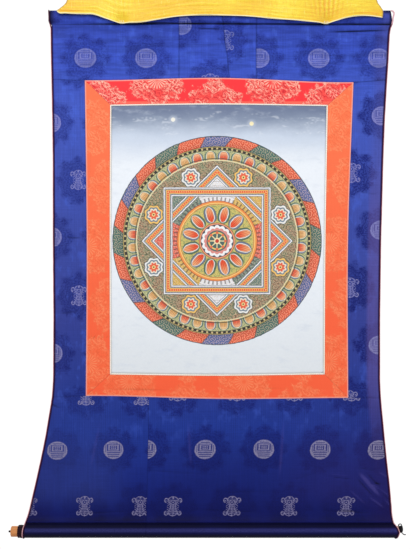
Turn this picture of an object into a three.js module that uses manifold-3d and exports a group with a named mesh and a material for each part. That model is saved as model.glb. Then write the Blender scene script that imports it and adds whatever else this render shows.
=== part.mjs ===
// A scroll painting: a painted cloth framed in brocade, cased over a flat batten at its head
// and round a wooden roller at its foot, with a silk veil over the top casing.
// Millimetres. +X is to the right, -Y is towards the viewer and +Z is up.
// The origin is the middle of the top casing's upper edge.
import * as THREE from "three";
import * as BufferGeometryUtils from "three/addons/utils/BufferGeometryUtils.js";
import Module from "manifold-3d";

// Cloth and seams
const CLOTH = 1.5; // thickness of the lined brocade and of the painted cloth
const SEAM = 0.22; // each piece stops this far short of its seam line
const PIPING_WIDTH = 2.8; // cream piping round the painted cloth
const PIPING_DEPTH = 2.4;
const CORD = 3.0; // diameter of the red piping on the side edges
const CORD_GAP = 0.35; // from a panel's edge to the red piping
const CORD_PROUD = 0.95; // it lies this far proud of the cloth round the roller
const CORD_START = 1; // and begins this many stretches from the hem behind
const CORD_ROWS = 30;
const CELL = 34; // rough size of a facet on the framed cloths
const FINE_CELL = 26; // and its width on the blue panels, which carry the folds

// The batten and its casing
const BATTEN_DEPTH = 9;
const BATTEN_HEIGHT = 21;
const BATTEN_LENGTH = 660;
const BATTEN_CLEARANCE = 0.45;
const HEAD_RADIUS = BATTEN_DEPTH / 2 + BATTEN_CLEARANCE + CLOTH / 2; // to the middle of the cloth
const HEAD_CENTRE_Z = -HEAD_RADIUS - CLOTH / 2;
const HEAD_TURNS = 6; // straight stretches over the batten
const HEAD_ROWS = 3; // and from the top seam up to the casing
// The middle of the cloth in the side view, up to the batten in front and down to the hem behind
const HEAD_FRONT = [
  { y: -0.8, z: -35 },
  { y: -2.0, z: -27 },
  { y: -5.4, z: -21.4 },
];
const HEAD_BACK = [
  { y: 5.4, z: -21.4 },
  { y: 0.9, z: -27 },
];

// The roller and its casing
const ROLLER_RADIUS = 10.5;
const ROLLER_LEFT = -420.5;
const WOOD_ROUND = 0.8; // worn edge of the roller's ends
const ROLLER_RIGHT = 362;
const TOUCH = 0.3; // between pieces that bear on each other
const NAIL_RADIUS = 2.2;
const NAIL_HEAD = 2.4;
const CUFF_CLOTH = 1.8;
const CUFF_ROUND = 0.6;
const CUFF = { left: -406.4, right: -395.2 };
const FOOT_RADIUS = 13.1; // to the middle of the cloth
const FOOT_CENTRE_Z = -1041.1;
const FOOT_CLEARANCE = 0.6; // under the roller, which lies in the casing
const ROLLER_Z = FOOT_CENTRE_Z - FOOT_RADIUS + CLOTH / 2 + FOOT_CLEARANCE + ROLLER_RADIUS;
const FOOT_OPENING = THREE.MathUtils.degToRad(40); // from straight up to where the cloth leaves the roller
const FOOT_TURNS = 12; // straight stretches round the roller
const FOOT_ROWS = 7; // and from the casing up to the low seam
const FOOT_BACK = [{ y: 1.6, z: -1022 }];
const FOOT_FRONT = [
  { y: -3.2, z: -1021.5 },
  { y: -1.2, z: -1012.5 },
];

// The thread tie at the roller's right end, from its knot's middle
const THREAD = 2.0;
const KNOT = { wide: 3.6, deep: 4.2, high: 6.6, above: 4 }; // half sizes, and height over the axis
const TIE_TAIL = [
  { x: 1.2, y: 0, z: -3 },
  { x: 3.2, y: -0.6, z: -6.4 },
  { x: 5.8, y: -1.0, z: -9.2 },
  { x: 8.8, y: -1.2, z: -10.4 },
  { x: 12, y: -1.0, z: -10.2 },
];
const TIE_LOOP = [
  { x: 1.4, y: 0, z: 3 },
  { x: 2.6, y: -0.6, z: 7.4 },
  { x: 1.4, y: -1.0, z: 10.6 },
  { x: -1.2, y: -1.0, z: 9.6 },
  { x: -1.8, y: -0.4, z: 6.6 },
  { x: -1.2, y: 0, z: 3.2 },
];

// Side edges of the whole hanging, outside the red piping
const SIDES = [
  { z: -1056, left: -394.6, right: 366 },
  { z: -1041, left: -394.4, right: 364 },
  { z: -1027, left: -392.4, right: 359.6 },
  { z: -1019, left: -388.4, right: 355.2 },
  { z: -994, left: -381.3, right: 349.9 },
  { z: -945, left: -370.4, right: 343.6 },
  { z: -896, left: -359.1, right: 337.7 },
  { z: -848, left: -349.1, right: 332.5 },
  { z: -799, left: -340.6, right: 327.6 },
  { z: -769, left: -335.6, right: 324.6 },
  { z: -734, left: -332.9, right: 322.7 },
  { z: -613, left: -331.3, right: 321.7 },
  { z: -453, left: -331.4, right: 322.6 },
  { z: -294, left: -330.4, right: 325.7 },
  { z: -215, left: -330.9, right: 328.0 },
  { z: -136, left: -331.9, right: 332.1 },
  { z: -97, left: -332.6, right: 335.5 },
  { z: -34, left: -333.1, right: 336.7 },
  { z: -24, left: -336.8, right: 340.2 },
  { z: 0, left: -337.5, right: 339.4 },
];

// Seams that run across, by their height at each x
const TOP_SEAM = [
  { x: -340, z: -134.8 },
  { x: -266.9, z: -136.8 },
  { x: -0.9, z: -131.9 },
  { x: 265.7, z: -140.5 },
  { x: 340, z: -135.8 },
];
const LOW_SEAM = [
  { x: -345, z: -768.8 },
  { x: -268.4, z: -766.4 },
  { x: 21.6, z: -772.8 },
  { x: 259.4, z: -770.4 },
  { x: 345, z: -770.8 },
];
const PAINTING_TOP = [
  { x: -215.6, z: -186.0 },
  { x: -4.8, z: -183.2 },
  { x: 213.8, z: -186.4 },
];
const PAINTING_FOOT = [
  { x: -218.3, z: -721.8 },
  { x: -4.5, z: -724.5 },
  { x: 210.7, z: -721.6 },
];

// Seams that run down, by their x at each height
const MIDDLE_Z = -453;
const BORDER_LEFT = [
  { z: -766, x: -268.4 },
  { z: -453, x: -264.9 },
  { z: -137, x: -266.9 },
];
const BORDER_RIGHT = [
  { z: -770, x: 259.4 },
  { z: -453, x: 257.1 },
  { z: -140, x: 265.7 },
];
const PAINTING_LEFT = [
  { z: -721.8, x: -218.3 },
  { z: -453, x: -217.7 },
  { z: -186, x: -215.6 },
];
const PAINTING_RIGHT = [
  { z: -721.6, x: 210.7 },
  { z: -453, x: 210.8 },
  { z: -186.4, x: 213.8 },
];
const TOP_JOIN_LEFT = [
  { z: -133, x: -80.2 },
  { z: 0, x: -80 },
];
const TOP_JOIN_MIDDLE = [
  { z: -133, x: 20.2 },
  { z: -11, x: 5.5 },
  { z: 0, x: 5.5 },
];
const TOP_JOIN_RIGHT = [
  { z: -133, x: 73.2 },
  { z: 0, x: 72.9 },
];
const LOW_JOIN = [
  { z: -1056, x: -148.5 },
  { z: -876, x: -143.6 },
  { z: -772, x: -141.3 },
];

// Soft folds of the hanging. Each row is one fold: the middle of its crest, its half length and
// half width, its lean from upright in degrees, and how far it stands out towards the viewer.
const FOLDS = [
  { x: -311, z: -470, half: 420, wide: 20, lean: 0, out: 3.0 },
  { x: 303, z: -470, half: 420, wide: 20, lean: 0, out: 2.8 },
  { x: -341, z: -895, half: 120, wide: 20, lean: 12, out: 3.2 },
  { x: 318, z: -900, half: 120, wide: 20, lean: -7, out: 3.0 },
  { x: -225, z: -880, half: 105, wide: 44, lean: 9, out: -3.4 },
  { x: -80, z: -900, half: 95, wide: 40, lean: 3, out: 2.8 },
  { x: 65, z: -885, half: 110, wide: 44, lean: -2, out: -3.2 },
  { x: 205, z: -900, half: 95, wide: 40, lean: -5, out: 2.8 },
  { x: -5, z: -450, half: 300, wide: 170, lean: 0, out: -3.2 },
  { x: -60, z: -795, half: 240, wide: 13, lean: 90, out: 1.8 },
  { x: -150, z: -88, half: 40, wide: 70, lean: 0, out: -1.8 },
  { x: 190, z: -84, half: 40, wide: 60, lean: 0, out: -1.6 },
];
const HEAD_FADE = { from: -42, to: -80 }; // the folds die out towards each casing
const FOOT_FADE = { from: -1004, to: -960 };

// Lower edge of the veil, from left to right
const VEIL_EDGE = [
  { x: -323, z: 1 },
  { x: -317, z: -5.3 },
  { x: -291, z: -6.1 },
  { x: -250, z: -7.4 },
  { x: -223, z: -16 },
  { x: -194, z: -23.8 },
  { x: -155, z: -23 },
  { x: -126, z: -18.4 },
  { x: -80, z: -11.7 },
  { x: -40, z: -9.4 },
  { x: 8, z: -9.8 },
  { x: 61, z: -11.7 },
  { x: 109, z: -16.4 },
  { x: 157, z: -19.7 },
  { x: 212, z: -24.4 },
  { x: 248, z: -15 },
  { x: 269, z: -11.1 },
  { x: 295, z: -10.7 },
  { x: 325, z: -14 },
];
const VEIL_SIDES = [
  { z: -24, left: -325, right: 327 },
  { z: 0, left: -323, right: 324.5 },
  { z: 8.4, left: -311, right: 318 },
  { z: 15, left: -304, right: 312 },
  { z: 21, left: -302, right: 310.5 },
  { z: 75, left: -300, right: 307 },
];
const VEIL_STITCHES = [
  { x: -194, z: -21 },
  { x: 212, z: -22 },
];
const VEIL_TOP_Z = 75;
const VEIL_CLOTH = 1.2;
const VEIL_STAND = 10.4; // the veil's middle stands this far in front of the batten's middle
const VEIL_TOUCH = 5.4; // and this far where it is stitched down
const VEIL_STITCH_REACH = 11;
const VEIL_FOLD = 2.6;
const VEIL_FOLD_SPREAD = THREE.MathUtils.degToRad(34); // between the folds that fan from a stitch
const VEIL_FOLD_START = { from: 6, to: 60 }; // the folds rise over this distance from a stitch
const VEIL_FOLD_REACH = 190; // and die out over this one
const VEIL_COLUMNS = 38;
const VEIL_ROWS = 7;
const VEIL_CROWDING = 1.3; // above 1 the rows lie closer at the lower edge

const SHADES = {
  blue: { color: 0x2b3c96, roughness: 0.55, metalness: 0 },
  orange: { color: 0xf0704a, roughness: 0.6, metalness: 0 },
  red: { color: 0xd9323c, roughness: 0.6, metalness: 0 },
  paint: { color: 0xa9b3b6, roughness: 0.8, metalness: 0 },
  cream: { color: 0xe8dcc4, roughness: 0.7, metalness: 0 },
  piping: { color: 0xc8475a, roughness: 0.6, metalness: 0 },
  lining: { color: 0x1c1633, roughness: 0.8, metalness: 0 },
  veil: { color: 0xf6dc4e, roughness: 0.45, metalness: 0 },
  wood: { color: 0xc58a55, roughness: 0.6, metalness: 0 },
  nail: { color: 0x2a2826, roughness: 0.45, metalness: 0.8 },
  thread: { color: 0x17151a, roughness: 0.85, metalness: 0 },
};

const thangka = new THREE.Group();

function add(name, geometry, shade) {
  const mesh = new THREE.Mesh(geometry, new THREE.MeshStandardMaterial(SHADES[shade]));
  mesh.name = name;
  thangka.add(mesh);
  return mesh;
}

// Reads a table: the value of one column for any number in another, on a smooth curve through
// the rows, or on straight lines between them where an edge turns sharply.
function read(Interpolant, rows, key, value) {
  const ordered = [...rows].sort((a, b) => a[key] - b[key]);
  const keys = ordered.map((row) => row[key]);
  const line = new Interpolant(keys, ordered.map((row) => row[value]), 1);
  return (at) => line.evaluate(THREE.MathUtils.clamp(at, keys[0], keys.at(-1)))[0];
}
const through = (...table) => read(THREE.CubicInterpolant, ...table);
const straight = (...table) => read(THREE.LinearInterpolant, ...table);

const leftSide = straight(SIDES, "z", "left");
const rightSide = straight(SIDES, "z", "right");
const topSeam = through(TOP_SEAM, "x", "z");
const lowSeam = through(LOW_SEAM, "x", "z");
const paintingTop = through(PAINTING_TOP, "x", "z");
const paintingFoot = through(PAINTING_FOOT, "x", "z");
const borderLeft = through(BORDER_LEFT, "z", "x");
const borderRight = through(BORDER_RIGHT, "z", "x");
const paintingLeft = through(PAINTING_LEFT, "z", "x");
const paintingRight = through(PAINTING_RIGHT, "z", "x");

// How far the cloth stands towards the viewer at a point of the hanging.
function swell(x, z) {
  let out = 0;
  for (const fold of FOLDS) {
    const lean = THREE.MathUtils.degToRad(fold.lean);
    const dx = x - fold.x;
    const dz = z - fold.z;
    const along = (dz * Math.cos(lean) + dx * Math.sin(lean)) / fold.half;
    const across = (dx * Math.cos(lean) - dz * Math.sin(lean)) / fold.wide;
    out += fold.out * Math.exp(-across * across - along ** 4);
  }
  const head = THREE.MathUtils.smoothstep(-z, -HEAD_FADE.from, -HEAD_FADE.to);
  const foot = THREE.MathUtils.smoothstep(z, FOOT_FADE.from, FOOT_FADE.to);
  return out * head * foot;
}

// Turns a box's grid into a cloth. place(across, row) gives the middle of the cloth; its thickness
// is set off square to the line that it follows up the hanging.
function cloth(columns, rows, thickness, place) {
  const grid = new THREE.BoxGeometry(1, 1, 1, columns, 1, rows);
  const corners = grid.attributes.position;
  for (let i = 0; i < corners.count; i += 1) {
    const across = corners.getX(i) + 0.5;
    const side = corners.getY(i) * thickness;
    const row = Math.round((corners.getZ(i) + 0.5) * rows);
    const point = place(across, row);
    const below = place(across, Math.max(row - 1, 0));
    const above = place(across, Math.min(row + 1, rows));
    const rise = above.z - below.z;
    const run = above.y - below.y;
    const length = Math.hypot(rise, run);
    corners.setXYZ(i, point.x, point.y + (side * rise) / length, point.z - (side * run) / length);
  }
  return grid;
}

// A round cord from a box's grid: its corners are drawn in to a circle round the path.
function cord(rows, diameter, path) {
  const grid = new THREE.BoxGeometry(1, 1, 1, 2, 2, rows);
  const corners = grid.attributes.position;
  for (let i = 0; i < corners.count; i += 1) {
    const across = corners.getX(i);
    const side = corners.getY(i);
    const reach = across === 0 && side === 0 ? 0 : diameter / 2 / Math.hypot(across, side);
    const row = Math.round((corners.getZ(i) + 0.5) * rows);
    const point = path(row);
    const below = path(Math.max(row - 1, 0));
    const above = path(Math.min(row + 1, rows));
    const rise = above.z - below.z;
    const run = above.y - below.y;
    const length = Math.hypot(rise, run);
    corners.setXYZ(
      i,
      point.x + across * reach,
      point.y + (side * reach * rise) / length,
      point.z - (side * reach * run) / length,
    );
  }
  return grid;
}

// A flat stretch between two seams across and two down.
function flatPoint(piece, across, up) {
  const middle = (piece.left(piece.middle.z) + piece.right(piece.middle.z)) / 2;
  let z = THREE.MathUtils.lerp(piece.foot(middle), piece.top(middle), up);
  let x = middle;
  for (let pass = 0; pass < 4; pass += 1) {
    x = THREE.MathUtils.lerp(piece.left(z) + SEAM, piece.right(z) - SEAM, across);
    z = THREE.MathUtils.lerp(piece.foot(x) + SEAM, piece.top(x) - SEAM, up);
  }
  return { x, y: -swell(x, z), z };
}

function flatCloth(name, shade, piece, thickness = CLOTH, cell = CELL) {
  const wide = piece.right(piece.middle.z) - piece.left(piece.middle.z);
  const high = piece.top(piece.middle.x) - piece.foot(piece.middle.x);
  const columns = Math.max(1, Math.round(wide / cell));
  const rows = Math.max(1, Math.round(high / CELL));
  const place = (across, row) => flatPoint(piece, across, row / rows);
  return add(name, cloth(columns, rows, thickness, place), shade);
}

// An arc in the side view, by angles from straight up that turn towards the wall.
function sideArc(centreZ, radius, from, to, turns) {
  return Array.from({ length: turns + 1 }, (_, turn) => {
    const angle = THREE.MathUtils.lerp(from, to, turn / turns);
    return { y: radius * Math.sin(angle), z: centreZ + radius * Math.cos(angle) };
  });
}

// The casings' side views: the top one from its front to the hem behind, the bottom one from the
// hem behind, under the roller and up in front.
const headArc = sideArc(HEAD_CENTRE_Z, HEAD_RADIUS, -Math.PI / 2, Math.PI / 2, HEAD_TURNS);
const HEAD_LINE = [...HEAD_FRONT, ...headArc, ...HEAD_BACK];
const footArc = (radius) =>
  sideArc(FOOT_CENTRE_Z, radius, FOOT_OPENING, 2 * Math.PI - FOOT_OPENING, FOOT_TURNS);
const FOOT_LINE = [...FOOT_BACK, ...footArc(FOOT_RADIUS), ...FOOT_FRONT];

// A top panel: flat up to the casing, then over the batten.
function topPanel(name, left, right) {
  const middle = { x: 0, z: -90 };
  const columns = Math.round((right(middle.z) - left(middle.z)) / FINE_CELL);
  const flat = { left, right, foot: topSeam, top: () => HEAD_FADE.from, middle };
  const place = (across, row) => {
    if (row <= HEAD_ROWS) return flatPoint(flat, across, row / HEAD_ROWS);
    const { y, z } = HEAD_LINE[row - HEAD_ROWS - 1];
    return { x: THREE.MathUtils.lerp(left(z) + SEAM, right(z) - SEAM, across), y, z };
  };
  add(name, cloth(columns, HEAD_ROWS + HEAD_LINE.length, CLOTH, place), "blue");
}

// A bottom panel: round the roller, then flat up to the low seam.
function bottomPanel(name, left, right) {
  const middle = { x: 0, z: -900 };
  const columns = Math.round((right(middle.z) - left(middle.z)) / FINE_CELL);
  const flat = { left, right, foot: () => FOOT_FADE.from, top: lowSeam, middle };
  const place = (across, row) => {
    if (row >= FOOT_LINE.length) return flatPoint(flat, across, (row - FOOT_LINE.length) / FOOT_ROWS);
    const { y, z } = FOOT_LINE[row];
    return { x: THREE.MathUtils.lerp(left(z) + SEAM, right(z) - SEAM, across), y, z };
  };
  add(name, cloth(columns, FOOT_ROWS + FOOT_LINE.length, CLOTH, place), "blue");
}

const bodyLeft = (z) => leftSide(z) + CORD + CORD_GAP;
const bodyRight = (z) => rightSide(z) - CORD - CORD_GAP;
const topJoinLeft = through(TOP_JOIN_LEFT, "z", "x");
const topJoinMiddle = straight(TOP_JOIN_MIDDLE, "z", "x");
const topJoinRight = through(TOP_JOIN_RIGHT, "z", "x");
const lowJoin = through(LOW_JOIN, "z", "x");

topPanel("top_panel_left", bodyLeft, topJoinLeft);
topPanel("top_panel_mid_left", topJoinLeft, topJoinMiddle);
topPanel("top_panel_mid_right", topJoinMiddle, topJoinRight);
topPanel("top_panel_right", topJoinRight, bodyRight);
bottomPanel("bottom_panel_left", bodyLeft, lowJoin);
bottomPanel("bottom_panel_right", lowJoin, bodyRight);

const sidePanels = {
  side_panel_left: { left: bodyLeft, right: borderLeft, middle: { x: -299, z: MIDDLE_Z } },
  side_panel_right: { left: borderRight, right: bodyRight, middle: { x: 290, z: MIDDLE_Z } },
};
for (const [name, piece] of Object.entries(sidePanels)) {
  flatCloth(name, "blue", { ...piece, foot: lowSeam, top: topSeam }, CLOTH, FINE_CELL / 1.5);
}

// The inner border and the cream piping are mitred: one straight line from each outer corner to
// the painting's corner parts their strips.
function mitre(outer, inner) {
  const slope = (inner.z - outer.z) / (inner.x - outer.x);
  return {
    zAt: (x) => outer.z + (x - outer.x) * slope,
    xAt: (z) => outer.x + (z - outer.z) / slope,
  };
}
const MITRES = {
  topLeft: mitre(TOP_SEAM[1], PAINTING_TOP[0]),
  topRight: mitre(TOP_SEAM[3], PAINTING_TOP.at(-1)),
  lowLeft: mitre(LOW_SEAM[1], PAINTING_FOOT[0]),
  lowRight: mitre(LOW_SEAM[3], PAINTING_FOOT.at(-1)),
};

// One framed ring of four strips between an outer and an inner line.
function ring(prefix, shades, outer, inner, thickness) {
  const { topLeft, topRight, lowLeft, lowRight } = MITRES;
  flatCloth(`${prefix}_top`, shades.top, {
    left: topLeft.xAt,
    right: topRight.xAt,
    foot: inner.top,
    top: outer.top,
    middle: { x: 0, z: inner.top(0) },
  }, thickness);
  flatCloth(`${prefix}_bottom`, shades.rest, {
    left: lowLeft.xAt,
    right: lowRight.xAt,
    foot: outer.foot,
    top: inner.foot,
    middle: { x: 0, z: inner.foot(0) },
  }, thickness);
  flatCloth(`${prefix}_left`, shades.rest, {
    left: outer.left,
    right: inner.left,
    foot: lowLeft.zAt,
    top: topLeft.zAt,
    middle: { x: inner.left(MIDDLE_Z), z: MIDDLE_Z },
  }, thickness);
  flatCloth(`${prefix}_right`, shades.rest, {
    left: inner.right,
    right: outer.right,
    foot: lowRight.zAt,
    top: topRight.zAt,
    middle: { x: inner.right(MIDDLE_Z), z: MIDDLE_Z },
  }, thickness);
}

// The painting's edge moved outwards by some millimetres.
const paintingEdge = (out) => ({
  left: (z) => paintingLeft(z) - out,
  right: (z) => paintingRight(z) + out,
  top: (x) => paintingTop(x) + out,
  foot: (x) => paintingFoot(x) - out,
});
const borderEdge = { left: borderLeft, right: borderRight, top: topSeam, foot: lowSeam };
const pipingOuter = paintingEdge(PIPING_WIDTH / 2);
const pipingInner = paintingEdge(-PIPING_WIDTH / 2);
ring("border", { top: "red", rest: "orange" }, borderEdge, pipingOuter, CLOTH);
ring("picture_piping", { top: "cream", rest: "cream" }, pipingOuter, pipingInner, PIPING_DEPTH);
flatCloth("painting", "paint", { ...pipingInner, middle: { x: 0, z: MIDDLE_Z } });

// Red piping down each side, round the end of the roller's casing and over the top one's.
function edgeCord(name, edge) {
  const stations = [...footArc(FOOT_RADIUS + CORD_PROUD).slice(CORD_START), ...FOOT_FRONT];
  for (let row = 0; row <= CORD_ROWS; row += 1) {
    const z = THREE.MathUtils.lerp(FOOT_FADE.from, HEAD_FADE.from, row / CORD_ROWS);
    stations.push({ y: -swell(edge(z), z), z });
  }
  stations.push(...HEAD_FRONT, ...headArc.slice(0, HEAD_TURNS));
  const path = (row) => ({ x: edge(stations[row].z), ...stations[row] });
  add(name, cord(stations.length - 1, CORD, path), "piping");
}
edgeCord("edge_piping_left", (z) => leftSide(z) + CORD / 2);
edgeCord("edge_piping_right", (z) => rightSide(z) - CORD / 2);

// The batten: a flat bar with round upper and lower edges.
const battenSection = new THREE.Shape();
const battenRadius = BATTEN_DEPTH / 2;
battenSection.absarc(0, -battenRadius, battenRadius, 0, Math.PI, false);
battenSection.absarc(0, battenRadius - BATTEN_HEIGHT, battenRadius, Math.PI, 2 * Math.PI, false);
const battenBar = new THREE.ExtrudeGeometry(battenSection, {
  depth: BATTEN_LENGTH,
  bevelEnabled: false,
  curveSegments: 8,
});
battenBar.rotateX(Math.PI / 2).rotateZ(Math.PI / 2);
const batten = add("top_batten", battenBar, "wood");
batten.position.set(-BATTEN_LENGTH / 2, 0, -CLOTH - BATTEN_CLEARANCE);

// The roller, its nail and its cuff are turned about its own length.
function turned(name, profile, segments, shade, x) {
  const points = profile.map(([radius, along]) => new THREE.Vector2(radius, along));
  const lathe = new THREE.LatheGeometry(points, segments).rotateZ(-Math.PI / 2);
  const piece = add(name, lathe, shade);
  piece.position.set(x, 0, ROLLER_Z);
}
const rollerLength = ROLLER_RIGHT - ROLLER_LEFT;
turned("roller", [
  [0, 0],
  [ROLLER_RADIUS - WOOD_ROUND, 0],
  [ROLLER_RADIUS, WOOD_ROUND],
  [ROLLER_RADIUS, rollerLength - WOOD_ROUND],
  [ROLLER_RADIUS - WOOD_ROUND, rollerLength],
  [0, rollerLength],
], 24, "wood", ROLLER_LEFT);

turned("roller_nail", [
  [0, 0],
  [NAIL_RADIUS * 0.6, 0],
  [NAIL_RADIUS, NAIL_HEAD / 2],
  [NAIL_RADIUS * 0.8, NAIL_HEAD],
  [0, NAIL_HEAD],
], 12, "nail", ROLLER_LEFT - TOUCH - NAIL_HEAD);

const cuffInside = ROLLER_RADIUS + TOUCH;
const cuffOutside = cuffInside + CUFF_CLOTH;
const cuffLength = CUFF.right - CUFF.left;
turned("roller_cuff", [
  [cuffInside, 0],
  [cuffOutside - CUFF_ROUND, 0],
  [cuffOutside, CUFF_ROUND],
  [cuffOutside, cuffLength],
  [cuffInside, cuffLength],
  [cuffInside, 0],
], 24, "lining", CUFF.left);

// The thread tie at the roller's right end is one knotted piece.
const wasm = await Module();
wasm.setup();

function solidOf(geometry) {
  const bare = geometry.clone();
  bare.deleteAttribute("normal");
  bare.deleteAttribute("uv");
  const merged = BufferGeometryUtils.mergeVertices(bare, 1e-4);
  return new wasm.Manifold(new wasm.Mesh({
    numProp: 3,
    vertProperties: new Float32Array(merged.attributes.position.array),
    triVerts: new Uint32Array(merged.index.array),
  }));
}

function threadAlong(points) {
  const curve = new THREE.CatmullRomCurve3(points.map(({ x, y, z }) => new THREE.Vector3(x, y, z)));
  const section = new THREE.Shape().absarc(0, 0, THREAD / 2, 0, 2 * Math.PI, false);
  return new THREE.ExtrudeGeometry(section, {
    extrudePath: curve,
    steps: 2 * points.length,
    bevelEnabled: false,
    curveSegments: 6,
  });
}

const knot = new THREE.SphereGeometry(1, 12, 8).scale(KNOT.wide, KNOT.deep, KNOT.high);
const tie = solidOf(knot)
  .add(solidOf(threadAlong(TIE_TAIL)))
  .add(solidOf(threadAlong(TIE_LOOP)))
  .getMesh();
const tieGeometry = new THREE.BufferGeometry();
tieGeometry.setAttribute("position", new THREE.BufferAttribute(tie.vertProperties, 3));
tieGeometry.setIndex(new THREE.BufferAttribute(tie.triVerts, 1));
tieGeometry.computeVertexNormals();
const tieX = ROLLER_RIGHT + TOUCH + KNOT.wide;
add("end_tie", tieGeometry, "thread").position.set(tieX, 0, ROLLER_Z + KNOT.above);

// The veil: a silk cloth over the top casing, drawn in at its stitches, its folds fanning from them.
const veilEdge = through(VEIL_EDGE, "x", "z");
const veilLeft = straight(VEIL_SIDES, "z", "left");
const veilRight = straight(VEIL_SIDES, "z", "right");

function veilDepth(x, z) {
  let fold = 0;
  let touch = 0;
  for (const stitch of VEIL_STITCHES) {
    const dx = x - stitch.x;
    const dz = z - stitch.z;
    const reach = Math.hypot(dx, dz);
    const turn = (2 * Math.PI * Math.atan2(dx, dz)) / VEIL_FOLD_SPREAD;
    const rise = THREE.MathUtils.smoothstep(reach, VEIL_FOLD_START.from, VEIL_FOLD_START.to);
    fold += VEIL_FOLD * Math.cos(turn) * rise * Math.exp(-((reach / VEIL_FOLD_REACH) ** 2));
    touch = Math.max(touch, Math.exp(-((reach / VEIL_STITCH_REACH) ** 2)));
  }
  return -THREE.MathUtils.lerp(VEIL_STAND + VEIL_FOLD + fold, VEIL_TOUCH, touch);
}

function veilPoint(across, row) {
  const up = row / VEIL_ROWS;
  const middle = THREE.MathUtils.lerp(VEIL_EDGE[0].x, VEIL_EDGE.at(-1).x, across);
  const z = THREE.MathUtils.lerp(veilEdge(middle), VEIL_TOP_Z, up ** VEIL_CROWDING);
  const x = THREE.MathUtils.lerp(veilLeft(z), veilRight(z), across);
  return { x, y: veilDepth(x, z), z };
}
add("veil", cloth(VEIL_COLUMNS, VEIL_ROWS, VEIL_CLOTH, veilPoint), "veil");

export default thangka;
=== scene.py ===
"""A hanging scroll painting: painted cotton framed in woven silk, on a batten and a roller.

Sizes and places are millimetres, with +X to the right, -Y towards the viewer and +Z up from the
middle of the top casing's upper edge. A mesh is turned into metres as it is made.
"""

import bisect
import math

import bmesh
import bpy
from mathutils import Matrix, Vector, noise


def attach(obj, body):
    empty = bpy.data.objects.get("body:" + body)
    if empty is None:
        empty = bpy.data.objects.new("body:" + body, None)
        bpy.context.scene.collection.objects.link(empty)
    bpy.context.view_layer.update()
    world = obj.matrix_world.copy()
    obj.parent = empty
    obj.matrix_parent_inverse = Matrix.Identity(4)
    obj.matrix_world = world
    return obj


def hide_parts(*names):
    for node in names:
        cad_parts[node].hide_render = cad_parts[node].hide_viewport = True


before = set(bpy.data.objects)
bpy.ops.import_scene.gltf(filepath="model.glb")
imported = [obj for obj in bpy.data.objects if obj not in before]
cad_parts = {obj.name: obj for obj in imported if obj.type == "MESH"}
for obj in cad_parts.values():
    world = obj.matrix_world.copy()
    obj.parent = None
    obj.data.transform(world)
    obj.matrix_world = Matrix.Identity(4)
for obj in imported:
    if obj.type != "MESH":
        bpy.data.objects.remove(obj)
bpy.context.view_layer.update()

MM = 0.001

# Cloth, seams and piping
CLOTH = 1.2  # thickness of a sheet as dressed
BACKING = 0.8  # of the painted cotton
SEAM_GAP = 0.05  # between two sheets
SEAM_TURN = 0.4  # a sheet turns back this far at a seam
SEAM_SOFT = 1.5  # and starts to turn about this far from it
SEAM_MARKS = (0.6, 1.3, 2.2, 3.6)  # extra rows of a sheet's grid beside a seam
CELL = 3.0  # size of a sheet's grid
WIDE_CELL = 5.0  # where the cloth has no sharp creases
PIPING_WIDTH = 2.8  # of the cream piping round the painting
PIPING_OVER = 0.3  # it laps this far over the cloth on both sides
PIPING_PROUD = 0.35
PIPING_STEP = 4.0
CORD = 3.0  # diameter of the red piping at the side edges
CORD_TUCK = 0.25  # a panel's edge lies this far into the red piping's side
CORD_PROUD = 0.95  # round the roller it runs this far outside the panel's middle
FAR_OFF = 99  # where no edge or seam is near
SAME_PLACE = 1e-4

# The side edges of the whole hanging, outside the red piping: z, left, right
SIDES = [
    (-1056, -396.4, 357), (-1050, -396.8, 360.4), (-1040, -396.4, 363.2), (-1032, -395.4, 360),
    (-1023, -392.6, 352.6), (-1010, -388, 350.6), (-994, -383.6, 349.2), (-945, -371.6, 344.2),
    (-896, -360.3, 338.3), (-848, -350.3, 333.1), (-799, -341.8, 328.2), (-769, -336.8, 325.2),
    (-734, -334.1, 323.3), (-613, -332.5, 322.3), (-453, -332.6, 323.2), (-294, -331.6, 326.3),
    (-215, -332.1, 328.6), (-136, -333.1, 332.7), (-97, -333.8, 335), (-48, -334.2, 337),
    (-34, -334.2, 339), (-28.5, -334.8, 341.4), (-25.5, -337, 343), (-21, -337.4, 342.8),
    (0, -337.6, 339.4),
]
# Seams that run across: x, z
TOP_SEAM = [(-340, -134.8), (-266.9, -136.8), (-0.9, -131.9), (265.7, -140.5), (340, -135.8)]
LOW_SEAM = [(-345, -768.8), (-268.4, -766.4), (21.6, -772.8), (259.4, -770.4), (345, -770.8)]
PAINTING_TOP = [(-215.6, -186.0), (-4.8, -183.2), (213.8, -186.4)]
PAINTING_FOOT = [(-218.3, -721.8), (-4.5, -724.5), (210.7, -721.6)]
# Seams that run down: z, x
BORDER_LEFT = [(-766, -268.4), (-453, -264.9), (-137, -266.9)]
BORDER_RIGHT = [(-770, 259.4), (-453, 257.1), (-140, 265.7)]
PAINTING_LEFT = [(-721.8, -218.3), (-453, -217.7), (-186, -215.6)]
PAINTING_RIGHT = [(-721.6, 210.7), (-453, 210.8), (-186.4, 213.8)]
TOP_JOIN_LEFT = [(-133, -80.2), (0, -80)]
TOP_JOIN_MIDDLE = [(-133, 20.2), (-11, 5.5), (0, 5.5)]
TOP_JOIN_RIGHT = [(-133, 73.2), (0, 72.9)]
LOW_JOIN = [(-1056, -148.5), (-876, -143.6), (-772, -141.3)]
# The heights at which the rows of sheets are measured
MIDDLE = -453
TOP_MIDDLE = -90
FOOT_MIDDLE = -900
BORDER_TOP_MIDDLE = -160
BORDER_FOOT_MIDDLE = -746
# About where the painting's corners lie
CORNERS_X = (-215, 213)
CORNERS_Z = (-721, -186)

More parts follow.
